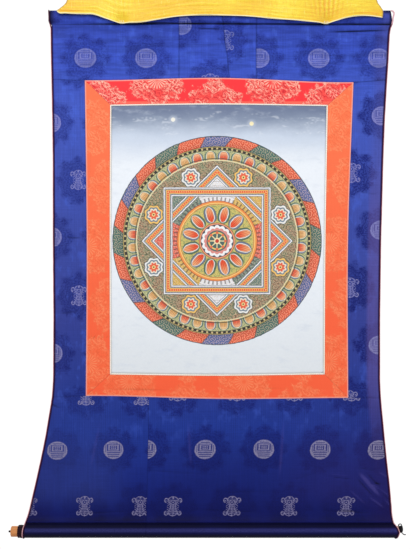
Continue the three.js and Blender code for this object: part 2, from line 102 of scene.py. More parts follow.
# Soft folds of the hanging: x, z, half length, half width, lean from upright, height
FOLDS = [
    (-311, -470, 420, 20, 0, 3.0), (303, -470, 420, 20, 0, 2.8),
    (-341, -895, 120, 20, 12, 3.2), (318, -900, 120, 20, -7, 3.0),
    (-225, -880, 105, 44, 9, -3.4), (-80, -900, 95, 40, 3, 2.8),
    (65, -885, 110, 44, -2, -3.2), (205, -900, 95, 40, -5, 2.8),
    (-5, -450, 300, 170, 0, -3.2), (-60, -795, 240, 13, 90, 1.8),
    (-150, -88, 40, 70, 0, -1.8), (190, -84, 40, 60, 0, -1.6),
]
HEAD_FADE = (-42, -80)  # the folds die out towards each casing
FOOT_FADE = (-1004, -960)
# Small creases: x, z, half length, half width, lean from upright, height
CREASES = [
    (120, -27.0, 300, 2.3, 90.2, -2.4), (-236, -27.4, 96, 2.0, 89.6, -1.2),
    (-150, -25.6, 60, 2.4, 89, -1.2), (105, -31, 236, 2.4, 90.4, 0.7),
    (273, -40.6, 58, 2.1, 88.5, -1.7), (273, -44.8, 54, 2.6, 88.5, 0.8),
    (-20, -36.2, 26, 1.9, 91, -1.5), (-20, -40.4, 22, 2.6, 91, 0.7),
    (-206, -39.5, 60, 2.2, 90, -0.6), (-310, -34.5, 22, 2.0, 90, -0.8),
    (-30, -66, 26, 2.4, 88, -0.7), (24, -50, 22, 2.4, 92, -0.7),
    (28, -92, 40, 2.6, 86, -0.6), (-52, -104, 24, 2.4, 94, -0.6),
    (303, -945, 30, 4.4, 138, 1.7), (295, -952, 26, 3.0, 138, -1.1), (312, -938, 24, 3.0, 136, -1.0),
    (328, -958, 22, 2.6, 130, 1.3), (334, -968, 22, 2.6, 134, -1.0), (318, -982, 20, 2.6, 126, 1.2),
    (280, -972, 24, 2.8, 132, 0.9), (330, -925, 14, 2.4, 122, 1.0), (342, -985, 12, 2.2, 140, 1.1),
    (244, -932, 26, 1.8, 99, -1.0), (242, -927, 24, 2.4, 99, 0.7),
    (206, -915, 18, 2.0, 118, -0.6), (196, -948, 26, 2.6, 64, 0.7), (188, -952, 24, 2.2, 64, -0.6),
    (322, -944, 18, 1.8, 96, -0.9), (336, -990, 16, 2.0, 128, -0.7), (262, -1000, 22, 2.0, 100, -0.6),
    (300, -915, 20, 2.6, 100, -0.7), (170, -930, 24, 2.6, 72, -0.6),
    (-243, -647.4, 26, 1.7, 90, -1.2), (-243, -643.6, 26, 2.0, 90, 0.6),
    (-166, -753.4, 72, 1.8, 90, -1.0), (120, -752, 40, 1.8, 91, -0.7),
    (-293, -448, 18, 2.8, 95, -1.1), (-296, -443, 12, 3.4, 95, 0.6),
    (-342, -781, 26, 3.0, 112, -1.2), (-338, -774, 24, 3.2, 112, 0.9),
    (-312, -300, 20, 2.0, 92, -0.8), (-300, -598, 22, 2.6, 84, -0.8), (296, -360, 20, 2.6, 97, -0.8),
    (-196, -58, 26, 3.4, 12, 0.7), (-178, -62, 24, 3.4, -20, -0.35),
    (206, -60, 26, 3.2, -8, 0.7), (226, -62, 22, 3.4, 22, -0.35),
    (-60, -862, 46, 4.0, 176, 1.0), (126, -870, 60, 4.0, 4, 1.0), (-250, -866, 50, 4.0, 12, 0.9),
    (-96, -920, 60, 2.6, 93, -0.7), (60, -962, 70, 2.4, 89, -0.6), (-300, -905, 40, 2.6, 96, -0.6),
    (20, -1000, 60, 2.4, 92, -0.8), (-230, -1003, 50, 2.4, 87, -0.8), (250, -1001, 60, 2.4, 93, -0.8),
]
FOLD_ENDS = 1.5  # past these shares of its half length and half width a fold is flat
FOLD_SIDES = 2.8
RIPPLE = 0.35  # soft unevenness all over, and the size of its waves
RIPPLE_SIZE = 46

# The top casing's side view, from its front to the hem behind: y, z
HEAD_RADIUS = 5.7
HEAD_CENTRE_Z = -6.45
HEAD_FRONT = [(0, -42), (-0.8, -35), (-1.7, -28.6), (-2.4, -25.6), (-5.4, -20.4)]
HEAD_BACK = [(5.4, -21.4), (0.9, -27)]
# The foot casing's, from the hem behind round the roller and up in front
FOOT_RADIUS = 13.1
FOOT_CENTRE_Z = -1041.1
FOOT_OPENING = 40
FOOT_BACK = [(1.6, -1022)]
FOOT_FRONT = [(-4.6, -1027.6), (-0.6, -1025.4), (-2.9, -1022.8), (-4.3, -1020.8),
              (-2.9, -1017), (-1.2, -1012), (0, -1004)]
PATH_STEP = 1.6
CASING_HALF = 0.75  # half the thickness of the CAD model's casing
# The red piping in front of each casing, y and z, and its ends at the top corners, x, y and z
CORD_FOOT = [(-4.6, -1024), (-3.2, -1018), (-1.2, -1011)]
CORD_HEAD = [(-0.8, -35), (-2.0, -27), (-5.4, -21.4)]
CORD_ROWS = 190
CORD_END_LEFT = [(-335.6, -6.3, -14), (-336, -6.2, -7), (-336.2, -5.4, -2), (-336.6, -3.2, 0.8)]
CORD_END_RIGHT = [(341.6, -6.9, -15.5), (343, -7.4, -10), (343, -7.6, -6.2), (341, -7.4, -3.6),
                  (338.6, -7, -2.4), (336.4, -6.6, -1.8)]

# Roller, nail, cuff and tie
ROLLER_RADIUS = 10.5
ROLLER_ENDS = (-420.5, 362)
ROLLER_GAP = 0.6  # it lies this far above the casing's wall
ROLLER_Z = FOOT_CENTRE_Z - FOOT_RADIUS + CASING_HALF + ROLLER_GAP + ROLLER_RADIUS
ROLLER_STOPS = 60
NAIL_RADIUS = 2.2
NAIL_SHANK = 0.8
NAIL_NECK = 156  # degrees of its round head
NAIL_CENTRE = 3.7  # the middle of its round head stands this far out of the wood
CUFF = (-406.4, -395.2)
CUFF_RADIUS = 12.6
TIE = (367, 0, ROLLER_Z + 4.4)
TIE_TURNS = 6
THREAD = 2.0
TIE_HALF = (4.2, 4.0, 6.2)  # the knot's coil: half its width, depth and height
TIE_TAIL = [(1.2, 0, -4), (3.2, -0.6, -7.4), (5.8, -1, -9.8), (8.4, -1.2, -10.8), (11, -1, -10.6)]
TIE_LOOP = [(1.2, 0, 4), (2, -0.6, 8), (0.6, -1, 10.8), (-2.2, -1, 11), (-4.2, -0.4, 8.6),
            (-4, 0, 4.8)]

# The veil: lower edge x, z; sides z, left, right; stitches x, z
VEIL_EDGE = [
    (-321, -3.4), (-315, -8.4), (-302, -9.0), (-288, -10.0), (-263, -10.8), (-248, -11.4),
    (-222, -19.4), (-199, -26.2), (-183, -27.0), (-154, -26.4), (-124, -21.8), (-80, -15.0),
    (-40, -12.8), (8, -13.2), (61, -15.2), (108, -19.8), (155, -23.0), (197, -26.8),
    (210, -27.6), (226, -24.4), (246, -18.4), (267, -14.6), (293, -14.2), (320, -17.4),
]
VEIL_SIDES = [(-28, -323, 319), (-17, -322.6, 320), (-4, -320.6, 321), (4, -309, 315.5),
              (10, -302.4, 310.6), (17, -299, 308), (40, -297.5, 306), (75, -297, 304)]
VEIL_STITCHES = [(-192, -24, 0.6), (210, -25, 1.7)]  # and the height of the pleats above each
VEIL_TOP_Z = 75
VEIL_CLOTH = 0.7
VEIL_FLAT = (640, 100)
VEIL_SPAN = (645, 96)  # its grid's width and height, and the size of its cells
VEIL_CELL = (3.2, 2.6)
VEIL_STAND = 10.4  # how far in front of the batten's plane it hangs, and where it is stitched
VEIL_TOUCH = 5.9
VEIL_STITCH_REACH = 11
VEIL_FOLD = 2.6
PLEAT_PITCH = 7.5
PLEAT_REACH = 24
SWAG_PITCH = 5.2  # between the first fine folds that follow the veil's lower edge
SWAG_FOLD = 1.1
SWAG_REACH = 30

# How the woven pattern lies on each piece: the x of its columns of roundels on row 0, the z of its
# rows (palmettes lie on the half rows and half columns), and how far it moves sideways going up
WEAVES = {
    "top_panel_left": ([-265.5, -145.5], [(-208, -0.5), (-93, 0)], 0),
    "top_panel_mid_left": ([-75.6, 39.4], [(-144, -0.5), (-28.6, 0)], 0),
    "top_panel_mid_right": ([-46, 69], [(-59, -0.5), (56, 0)], 0),
    "top_panel_right": ([77.7, 196.7, 315.3], [(-208, -0.5), (-93.4, 0)], 0),
    "side_panel_left": (
        [-435.5, -332.5], [(-795, -2.5), (-680, -2), (-565, -1.5), (-447, -1), (-221, 0)], 0,
    ),
    "side_panel_right": (
        [204, 323], [(-774.6, -2.5), (-663.5, -2), (-549, -1.5), (-433, -1), (-207, 0)], 0.006,
    ),
    "bottom_panel_left": ([-326, -213.5], [(-991, -0.5), (-876, 0), (-767, 0.5)], 0.02),
    "bottom_panel_right": (
        [-148, -28.4, 90.5, 203, 320], [(-991, -0.5), (-875, 0), (-757, 0.5)], 0.045,
    ),
    "border_left": ([-264, -149], [(-466, -1), (-231, 0)], 0),
    "border_right": ([104, 219], [(-459, -1), (-221, 0)], 0),
}
CROSS_WEAVES = {"border_top": (-123.8, -134), "border_bottom": (-180, -738)}
PITCH_ACROSS = 115
PITCH_DOWN = 230
DESIGN = (-4.5, -455)  # the middle of the painted design
DISCS = [(-92, -214, (244, 240, 228)), (64, -222, (250, 236, 190))]

# The photograph's view: the camera's focal length and the photograph's height are in pixels
SENSOR = 36
FOCAL_PIXELS = 825
PHOTO_PIXELS = 549
CAMERA_PLACE = (-28.648, -1648.78, -458.63)
CAMERA_TILT = 2.2
# Lamps: place, target, size and power
LAMPS = {
    "key": ((-700, -1900, 900), (0, 0, -420), 1500, 30),
    "fill": ((1300, -1700, -200), (0, 0, -600), 1600, 10),
    "back": ((-600, 2100, 700), (0, 0, -500), 1600, 20),
}
FLOOR_Z = -1600
FLOOR_HALF = 1300


def lerp(low, high, share):
    return low + (high - low) * share


def smoothstep(value, low, high):
    share = min(max((value - low) / (high - low), 0), 1)
    return share * share * (3 - 2 * share)


def carried(points):
    """Reads a table of (at, value) on straight lines, carried on past its ends."""
    keys, values = zip(*sorted(points))

    def read(at):
        after = min(max(bisect.bisect_left(keys, at), 1), len(keys) - 1)
        share = (at - keys[after - 1]) / (keys[after] - keys[after - 1])
        return lerp(values[after - 1], values[after], share)

    return read


def straight(points):
    """Reads a table of (at, value) on straight lines between its rows."""
    line = carried(points)
    first = min(points)[0]
    last = max(points)[0]
    return lambda at: line(min(max(at, first), last))


def through(points):
    """Reads a table of (at, value) on one smooth curve, straight at its ends."""
    keys, values = zip(*sorted(points))
    last = len(keys) - 1

    def read(at):
        at = min(max(at, keys[0]), keys[-1])
        high = min(max(bisect.bisect_right(keys, at), 1), last)
        low = high - 1
        before = low - 1 if low > 0 else high
        after = high + 1 if high < last else low
        half = (keys[high] - keys[low]) / 2
        pull = half / (keys[low] - keys[before])
        push = half / (keys[after] - keys[high])
        p = (at - keys[low]) / (keys[high] - keys[low])
        return (
            values[before] * pull * (-(p**3) + 2 * p**2 - p)
            + values[low] * ((1 + pull) * p**3 - (1.5 + 2 * pull) * p**2 + (pull - 0.5) * p + 1)
            + values[high] * ((-1 - push) * p**3 + (1.5 + push) * p**2 + 0.5 * p)
            + values[after] * push * (p**3 - p**2)
        )

    return read


def column(rows, index):
    return [(row[0], row[index]) for row in rows]


left_side = straight(column(SIDES, 1))
right_side = straight(column(SIDES, 2))
top_seam = through(TOP_SEAM)
low_seam = through(LOW_SEAM)
painting_top = through(PAINTING_TOP)
painting_foot = through(PAINTING_FOOT)
border_left = through(BORDER_LEFT)
border_right = through(BORDER_RIGHT)
painting_left = through(PAINTING_LEFT)
painting_right = through(PAINTING_RIGHT)
top_join_left = through(TOP_JOIN_LEFT)
top_join_middle = straight(TOP_JOIN_MIDDLE)
top_join_right = through(TOP_JOIN_RIGHT)
low_join = through(LOW_JOIN)


def body_left(z):
    return left_side(z) + CORD - CORD_TUCK


def body_right(z):
    return right_side(z) - CORD + CORD_TUCK


def fold_table(rows):
    """Adds to each fold its direction and how far it reaches along x and z."""
    table = []
    for x, z, half, wide, lean, height in rows:
        cosine = math.cos(math.radians(lean))
        sine = math.sin(math.radians(lean))
        reach_x = abs(sine) * half * FOLD_ENDS + abs(cosine) * wide * FOLD_SIDES
        reach_z = abs(cosine) * half * FOLD_ENDS + abs(sine) * wide * FOLD_SIDES
        table.append((x, z, half, wide, cosine, sine, reach_x, reach_z, height))
    return table


FOLD_TABLE = fold_table(FOLDS)
CREASE_TABLE = fold_table(CREASES)


def heap(table, x, z):
    """The height of a table's folds at a place."""
    out = 0
    for fold_x, fold_z, half, wide, cosine, sine, reach_x, reach_z, height in table:
        dx = x - fold_x
        dz = z - fold_z
        if abs(dx) < reach_x and abs(dz) < reach_z:
            along = (dz * cosine + dx * sine) / half
            across = (dx * cosine - dz * sine) / wide
            out += height * math.exp(-across * across - along**4)
    return out


def creases(x, z):
    return heap(CREASE_TABLE, x, z)


def stand(x, z):
    """How far the cloth stands towards the viewer at a place of the hanging."""
    fade = smoothstep(-z, -HEAD_FADE[0], -HEAD_FADE[1]) * smoothstep(z, *FOOT_FADE)
    ripple = RIPPLE * noise.noise(Vector((x / RIPPLE_SIZE, z / RIPPLE_SIZE, 1.7)))
    return (heap(FOLD_TABLE, x, z) + ripple) * fade + creases(x, z)


def seam_turn(distance):
    return SEAM_TURN * math.exp(-((distance / SEAM_SOFT) ** 2))


class Nodes:
    """A node tree, and the nodes that are added to it."""

    def __init__(self, tree):
        self.tree = tree
        tree.nodes.clear()

    def join(self, socket, value):
        if isinstance(value, Level):
            self.tree.links.new(value.socket, socket)
        else:
            socket.default_value = value

    def node(self, kind, inputs, output=0, stops=(), **settings):
        """Adds a node: its settings first, then the values or links of its sockets."""
        node = self.tree.nodes.new(kind)
        for key, value in settings.items():
            setattr(node, key, value)
        for index, (at, colour) in enumerate(stops):
            elements = node.color_ramp.elements
            stop = elements[index] if index < 2 else elements.new(at)
            stop.position = at
            stop.color = colour
        for key, value in inputs.items():
            self.join(node.inputs[key], value)
        return Level(self, node.outputs[output]) if node.outputs else None


class Finish(Nodes):
    """A procedural material."""

    def __init__(self, name, roughness=0.7, **constants):
        self.material = bpy.data.materials.new(name)
        self.material.use_nodes = True
        super().__init__(self.material.node_tree)
        surface = self.node("ShaderNodeBsdfPrincipled", {"Roughness": roughness})
        self.shader = surface.socket.node
        self.node("ShaderNodeOutputMaterial", {"Surface": surface})
        for socket, value in constants.items():
            self.set(socket.replace("_", " "), value)

    def set(self, socket, value):
        """Sets or links one of the shader's own sockets."""
        self.join(self.shader.inputs[socket], value)

    def math(self, operation, *values, clamp=False):
        inputs = dict(enumerate(values))
        return self.node("ShaderNodeMath", inputs, operation=operation, use_clamp=clamp)

    def place(self):
        """Where a point of the surface is, in millimetres."""
        spot = self.node("ShaderNodeTexCoord", {}, output="Object")
        inputs = {0: spot, 1: (1 / MM, 1 / MM, 1 / MM)}
        return self.node("ShaderNodeVectorMath", inputs, operation="MULTIPLY")

    def map(self, name):
        """The numbers of one of the piece's own maps."""
        return self.node("ShaderNodeUVMap", {}, uv_map=name)

    def attribute(self, name):
        """A number that is kept at each point of the piece."""
        return self.node("ShaderNodeAttribute", {}, output="Fac", attribute_name=name)

    def seam_shadow(self):
        """1 at a seam, fading into the sheet."""
        return 1 - self.rise(self.attribute("seam"), 0.2, 2.6)

    def parts(self, vector):
        split = self.node("ShaderNodeSeparateXYZ", {0: vector})
        outputs = split.socket.node.outputs
        return [Level(self, outputs[axis]) for axis in "XYZ"]

    def vector(self, x, y, z=0.0):
        return self.node("ShaderNodeCombineXYZ", {0: x, 1: y, 2: z})

    def noise(self, vector, scale, detail=2.0, rough=0.5):
        inputs = {"Vector": vector, "Scale": scale, "Detail": detail, "Roughness": rough}
        return self.node("ShaderNodeTexNoise", inputs)

    def curls(self, vector, size, turns):
        """Rings inside irregular cells, which read as small scrolls."""
        inputs = {"Vector": vector, "Scale": 1 / size, "Randomness": 0.7}
        distance = self.node("ShaderNodeTexVoronoi", inputs, voronoi_dimensions="2D")
        return 0.5 + 0.5 * (distance * (math.tau * turns)).cosine()

    def scrolls(self, vector, size, turns):
        """A spiral in each irregular cell, like the curled ends of leaves."""
        inputs = {"Vector": vector, "Scale": 1 / size, "Randomness": 0.75}
        distance = self.node("ShaderNodeTexVoronoi", inputs, voronoi_dimensions="2D")
        middle = Level(self, distance.socket.node.outputs["Position"])
        away = self.node("ShaderNodeVectorMath", {0: vector, 1: middle}, operation="SUBTRACT")
        across, up, _ = self.parts(away)
        turn = self.math("ARCTAN2", up, across)
        return 0.5 + 0.5 * (distance * (math.tau * turns) + turn).cosine()

    def ramp(self, value, *stops):
        """A colour that changes through stops of a value and a colour."""
        low = stops[0][0]
        high = stops[-1][0]
        inputs = {"Value": value, "From Min": low, "From Max": high}
        share = self.node("ShaderNodeMapRange", inputs)
        shares = [((at - low) / (high - low), dyed(colour)) for at, colour in stops]
        return self.node("ShaderNodeValToRGB", {0: share}, stops=shares)

    def rise(self, value, low, high):
        """0 below low, 1 above high and a soft step between."""
        inputs = {"Value": value, "From Min": low, "From Max": high}
        return self.node("ShaderNodeMapRange", inputs, interpolation_type="SMOOTHSTEP")

    def span(self, value, low, high, soft=0.5):
        """1 between low and high."""
        above = self.rise(value, low - soft, low + soft)
        return above * (1 - self.rise(value, high - soft, high + soft))

    def line(self, distance, half, soft=0.5):
        """1 on a line that is twice half wide."""
        return 1 - self.rise(abs(distance), half - soft, half + soft)

    def inside(self, distance, soft=0.5):
        """1 where a distance to an outline is below nought."""
        return 1 - self.rise(distance, -soft, soft)

    def blend(self, below, above, share):
        """One colour over another, each a Level or a colour's values on a screen."""
        inputs = {0: share, 6: dyed(below), 7: dyed(above)}
        return self.node("ShaderNodeMix", inputs, output=2, data_type="RGBA", clamp_factor=True)

    def layers(self, colour, distance, soft, *rows):
        """Lays colours over each other, each inside an edge at its own distance."""
        for edge, above in rows:
            colour = self.blend(colour, above, self.inside(distance - edge, soft))
        return colour

    def shade(self, colour, factor):
        """A colour made lighter or darker."""
        inputs = {0: colour, "Scale": factor}
        return self.node("ShaderNodeVectorMath", inputs, operation="SCALE")

    def bump(self, height, strength, distance):
        inputs = {"Height": height, "Strength": strength, "Distance": distance}
        self.set("Normal", self.node("ShaderNodeBump", inputs))


def on_two(operation):
    """A method that puts a Math node on a level and another value."""
    return lambda level, other: level.nodes.math(operation, level, other)


def reflected(operation):
    """The same with the level last."""
    return lambda level, other: level.nodes.math(operation, other, level)


def on_one(operation):
    return lambda level: level.nodes.math(operation, level)


class Level:
    """A number, colour or vector on a surface; arithmetic on it adds Math nodes to its tree."""

    def __init__(self, nodes, socket):
        self.nodes = nodes
        self.socket = socket

    __add__ = __radd__ = on_two("ADD")
    __sub__ = on_two("SUBTRACT")
    __rsub__ = reflected("SUBTRACT")
    __mul__ = __rmul__ = on_two("MULTIPLY")
    __truediv__ = on_two("DIVIDE")
    __rtruediv__ = reflected("DIVIDE")
    __pow__ = on_two("POWER")
    __lt__ = on_two("LESS_THAN")
    __gt__ = on_two("GREATER_THAN")
    __or__ = most = on_two("MAXIMUM")  # masks are joined with |
    least = on_two("MINIMUM")
    __abs__ = on_one("ABSOLUTE")
    sine = on_one("SINE")
    cosine = on_one("COSINE")
    root = on_one("SQRT")

    def __neg__(self):
        return self * -1

    def wave(self, pitch):
        """A wave from -1 to 1 that repeats at each pitch."""
        return (self * (math.tau / pitch)).sine()

    def centred(self, period):
        """Repeats from minus half the period to half the period."""
        return self.nodes.math("WRAP", self, period / 2, -period / 2)

    def clamped(self):
        return self.nodes.math("ADD", self, 0.0, clamp=True)


def linear(value):
    value /= 255
    return value / 12.92 if value <= 0.04045 else ((value + 0.055) / 1.055) ** 2.4


def dyed(colour):
    """A colour for a socket: a Level as it is, or red, green and blue from 0 to 255 on a screen."""
    if isinstance(colour, Level):
        return colour
    return (*(linear(value) for value in colour), 1)


def far(across, up):
    """The distance from a middle."""
    return (across * across + up * up).root()


def weave_cells(f):
    """The nearest medallion of the woven repeat: across and up from its middle, its distance, and
    1 where it is one of the rows of roundels."""
    u, v, _ = f.parts(f.map("weave"))
    round_across = u.centred(1) * PITCH_ACROSS
    round_up = v.centred(1) * PITCH_DOWN
    round_far = far(round_across, round_up)
    leaf_across = (u - 0.5).centred(1) * PITCH_ACROSS
    leaf_up = (v - 0.5).centred(1) * PITCH_DOWN
    leaf_far = far(leaf_across, leaf_up)
    rounds = round_far < leaf_far
    across = round_across * rounds + leaf_across * (1 - rounds)
    up = round_up * rounds + leaf_up * (1 - rounds)
    return across, up, round_far.least(leaf_far), rounds


def roundel(f, across, up, grain):
    """A disc a little wider than high with an uneven edge, and a fret of bars in its middle."""
    side = abs(across)
    disc = f.inside(far(across / 20.6, up / 19) - 1 - (grain - 0.5) * 0.12, 0.05)
    box = (side / 12.4).most(abs(up - 4.2) / 6.6)
    drawn = f.line(box - 1, 0.1, 0.05) | f.line(box - 0.52, 0.1, 0.05)
    drawn |= f.line(up - 4.4, 0.6, 0.4) * (side < 5)
    drawn |= f.line((side - 2.2).centred(4.6), 0.55, 0.4) * (abs(up - 4.2) < 4)
    bars = f.line((up + 5.8).centred(3.9), 0.85, 0.45) * (up < -3.6) * (up > -15.5)
    drawn |= bars * (side < 16 + up * 0.35)
    drawn |= f.line(up - 14, 0.7, 0.4) * (side < 9)
    drawn |= f.line(side - 16, 0.6, 0.4) * (abs(up - 2) < 7)
    return disc, drawn * f.rise(grain, 0.3, 0.46)


def palmette(f, across, up):
    """A small ornament, the same on both sides: a waisted stem of short bars between two pairs of
    curled leaves, with a round flower high on it."""
    side = abs(across)
    height = abs(up)
    flare = side - 4.8 - f.rise(height, 1, 16) * 5.6
    short = height < 15.5
    drawn = f.line(flare, 0.8) * short
    bars = f.line((up + 0.6).centred(3.3), 0.8) * f.inside(flare, 0.5) * short
    drawn |= bars * 0.85
    drawn |= f.line(side - 1.2, 0.5) * (up < 3) * short
    veins = f.line((height + side * 0.7 - 9).centred(4.6), 0.8) * (side > 4) * (side < 11.5)
    drawn |= veins * (height < 13) * 0.8
    drawn *= 1 - f.inside(far(side, up - 8.4) - 5.2, 0.4)
    drawn |= f.line(far(side, up - 8.4) - 4.4, 0.8)
    drawn |= f.inside(far(side, up - 8.4) - 1.6, 0.4)
    drawn |= f.inside(far(side / 2.0, (up - 17.8) / 2.2) - 1, 0.2)
    drawn |= f.line(far(side / 1.5, up - 14.4) - 5.6, 0.7) * (up > 14.4)
    leaf = f.line(far(side - 13, (up - 12.4) * 0.9) - 3.6, 0.95)
    drawn |= leaf * (1 - (side < 13) * (up < 12))
    drawn |= f.inside(far(side - 13.6, up - 11.4) - 1.2)
    drawn |= f.inside(far(side / 1.9, (up + 18.2) / 2.0) - 1, 0.2)
    drawn |= f.line(far(side / 1.5, up + 13.4) - 5.2, 0.7) * (up < -13.4)
    foot = f.line(far(side - 12.8, (up + 13.6) * 0.9) - 3.3, 0.95)
    drawn |= foot * (1 - (side < 12.6) * (up > -13.6))
    return drawn | f.inside(far(side - 13, up + 13) - 1.1)


def dark_flower(f, across, up, distance, grain, speck):
    """How dark the soft flower round a medallion is: a lobed ring, blots and small flecks."""
    angle = f.math("ARCTAN2", up, across)
    drift = (grain - 0.5) * 40
    turn = angle + (grain - 0.5) * 0.9
    edge = distance - 44.5 - (turn * 8).cosine() * 3.6 - drift
    body = 1 - f.rise(edge, -8, 6)
    place, _ = ring_cells(f, turn, 8)
    blot = far(place * distance * (math.pi / 4) * 0.8, distance - 40) + drift * 0.5
    blots = 1 - f.rise(blot, 1, 13)
    halo = f.span(distance, 20, 25, 2.5)
    flecks = f.rise(speck, 0.36, 0.62)
    lines = (distance * 0.9 + (turn * 16).cosine() * 1.6).cosine() * 0.5 + 0.5
    drawn = body * (0.4 + lines * 0.25) | blots * 0.72 | halo * 0.6
    return (drawn * (0.5 + flecks * 0.8)).clamped()


def ribs(f, x, z):
    """How light the slightly uneven threads are that run across and down."""
    across = f.noise(f.vector(x * 0.015, z * 0.9), 1.0, 3.0, 0.65)
    down = f.noise(f.vector(x * 0.45, z * 0.008), 1.0, 3.0, 0.65)
    return across, down


def blue_ground(f, x, z, flat, dark):
    """The blue, deeper towards the foot, with the dark flowers over it, and how dark the flowers
    are left at each place."""
    drift = f.noise(flat, 0.014, 2.0)
    # Darker towards the foot: partly painted shade for the light falling off downwards, with the
    # lamps giving the rest.
    ground = f.ramp(
        -z + (drift - 0.5) * 60,
        (0, (46, 64, 162)), (90, (54, 78, 184)), (200, (66, 88, 188)),
        (420, (60, 76, 164)), (620, (52, 64, 146)), (770, (36, 56, 142)),
        (830, (30, 54, 144)), (900, (24, 43, 130)), (960, (17, 33, 116)),
        (1005, (10, 20, 94)), (1030, (8, 10, 60)),
    )
    deep = f.ramp(
        -z, (0, (22, 34, 122)), (220, (24, 36, 120)), (620, (17, 25, 102)),
        (830, (8, 14, 96)), (1000, (4, 5, 66)), (1030, (4, 2, 36)),
    )
    plain = f.rise(-z, 700, 860) * (0.1 + f.rise(-x, 150, 330) * 0.3)
    foot_row = f.rise(-z, 900, 930) * 0.2
    right_strip = f.rise(x, 262, 266) * f.rise(z, -790, -700) * f.rise(-z, 134, 137) * 0.5
    dark = (dark * (1 - plain - foot_row + right_strip)).clamped()
    colour = f.blend(ground, deep, dark)
    cloudy = f.noise(f.vector(x * 0.05, z * 0.028), 1.0, 3.0, 0.6)
    light = f.rise(cloudy, 0.5, 0.72) * (1 - dark) * f.rise(z, -940, -700)
    return f.blend(colour, (72, 102, 214), light * 0.42), dark


def blue_sheen_edges_and_foot(f, colour, x, z, outer, low):
    """A painted sheen along the side edges, paler purple near the right one, darker purple near both
    at the foot, darker in the middle of the foot and greyer beside it."""
    right = f.rise(x, -100, 250)
    # painted sheen: a lighter, more violet blue near the side edges, more so on the right, not at the
    # foot
    sheen = (1 - f.rise(outer, 4, 36)) * (1 - low) * (0.08 + right * 0.38)
    colour = f.blend(colour, (78, 82, 156), sheen)
    pale_edge = (1 - f.rise(outer, 20, 28)) * right * f.rise(-z, 230, 460)
    colour = f.blend(colour, (104, 84, 150), pale_edge * (1 - low) * 0.36)
    murk = (1 - f.rise(outer, 2, 74)) * low * (0.1 + right * 0.5)
    colour = f.blend(colour, (32, 16, 74), murk)
    middle = f.rise(x, -190, -20) * f.rise(-z, 800, 940) * 0.34
    colour = f.blend(colour, (10, 14, 84), middle)
    grey = low * (1 - f.rise(-z, 950, 1012)) * 0.3
    colour = f.blend(colour, (56, 70, 140), f.rise(-x, 160, 260) * grey)
    return f.blend(colour, (38, 34, 104), f.rise(x, 60, 260) * grey * 1.6)


def silver_weave(f, across, up, rounds, speck, low):
    """How much silver there is in the roundels and palmettes."""
    disc, fret = roundel(f, across, up, speck)
    leaves = palmette(f, across, up)
    leaves = leaves * (0.45 + f.rise(speck, 0.36, 0.56) * 0.75)
    return disc * (1 - fret * (0.8 + low * 0.2)) * rounds + leaves * (1 - rounds)


def silver_thread(f, colour, x, z, silver, speck):
    """The silver, broken by the threads and warmer towards the foot."""
    thread = f.noise(f.vector(x * 0.5, z * 1.6), 1.0, 2.0)
    metal = f.ramp(
        -z, (0, (108, 116, 184)), (220, (134, 134, 198)), (640, (134, 132, 184)),
        (880, (142, 136, 166)), (1000, (128, 122, 160)),
    )
    shown = (silver * (0.1 + thread * 0.7 + f.rise(speck, 0.3, 0.6) * 0.5)).clamped()
    return f.blend(colour, metal, shown)


def blue_tone(f, x, z, crease):
    """How light the cloth is by its threads, with painted shade in its creases, at its seams and in
    its wrinkles and painted highlights on its crease ridges and wrinkles; also the threads that run
    across."""
    weft, warp = ribs(f, x, z)
    reed = x.wave(4.3) * f.span(z, -860, -772, 18) * 0.05
    mesh = f.noise(f.vector(x * 0.8, z * 0.8), 1.0, 2.0, 0.7)
    tone = 0.36 + weft * 0.5 + warp * 0.48 + mesh * 0.3 + reed
    # painted shade in the creases and a painted highlight on their ridges
    tone = tone * (1 - f.rise(-crease, 0.2, 1.7) * 0.86) + f.rise(crease, 0.15, 1.2) * 0.12
    tone = tone * (1 - f.seam_shadow() * (0.3 - f.rise(-z, 600, 760) * 0.22))
    # painted light and shade of soft wrinkles near the top
    wrinkle = f.noise(f.vector(x * 0.014, z * 0.11), 1.0, 3.0, 0.6)
    return tone + (f.rise(wrinkle, 0.35, 0.65) - 0.5) * f.rise(z, -200, -90) * 0.3, weft


def casing_shadows(f, colour, x, z, outer, speck):
    """Painted shade in the step above the roller's casing and under the roller, a painted gleam on
    the roller and a painted highlight on the ridge above it, and the dark side edges and corners.
    """
    recess = f.span(z, -1031.4, -1024.4, 1.4)
    colour = f.blend(colour, (3, 2, 34), recess * 0.82)
    under = 1 - f.rise(z, -1047, -1040)
    colour = f.blend(colour, (4, 2, 26), under * 0.85)
    gleam = f.span(z, -1039.4, -1033, 1.8) * (speck * 1.5 - 0.2).clamped()
    colour = f.blend(colour, (58, 60, 128), gleam * 0.8)
    ridge = f.span(z, -1023.2, -1020.6, 0.8)
    colour = f.blend(colour, (34, 38, 118), ridge * 0.5)
    edge = 1 - f.rise(outer, 1.4, 3.2)
    colour = f.blend(colour, (40, 8, 48), edge * 0.85)
    top = f.rise(z, -10, -4)
    end = f.rise(x, 318, 328) * top | f.rise(x, 332, 337) | f.rise(-x, 322, 332)
    return f.blend(colour, (10, 8, 44), end * f.rise(z, -29, -25) * 0.8)


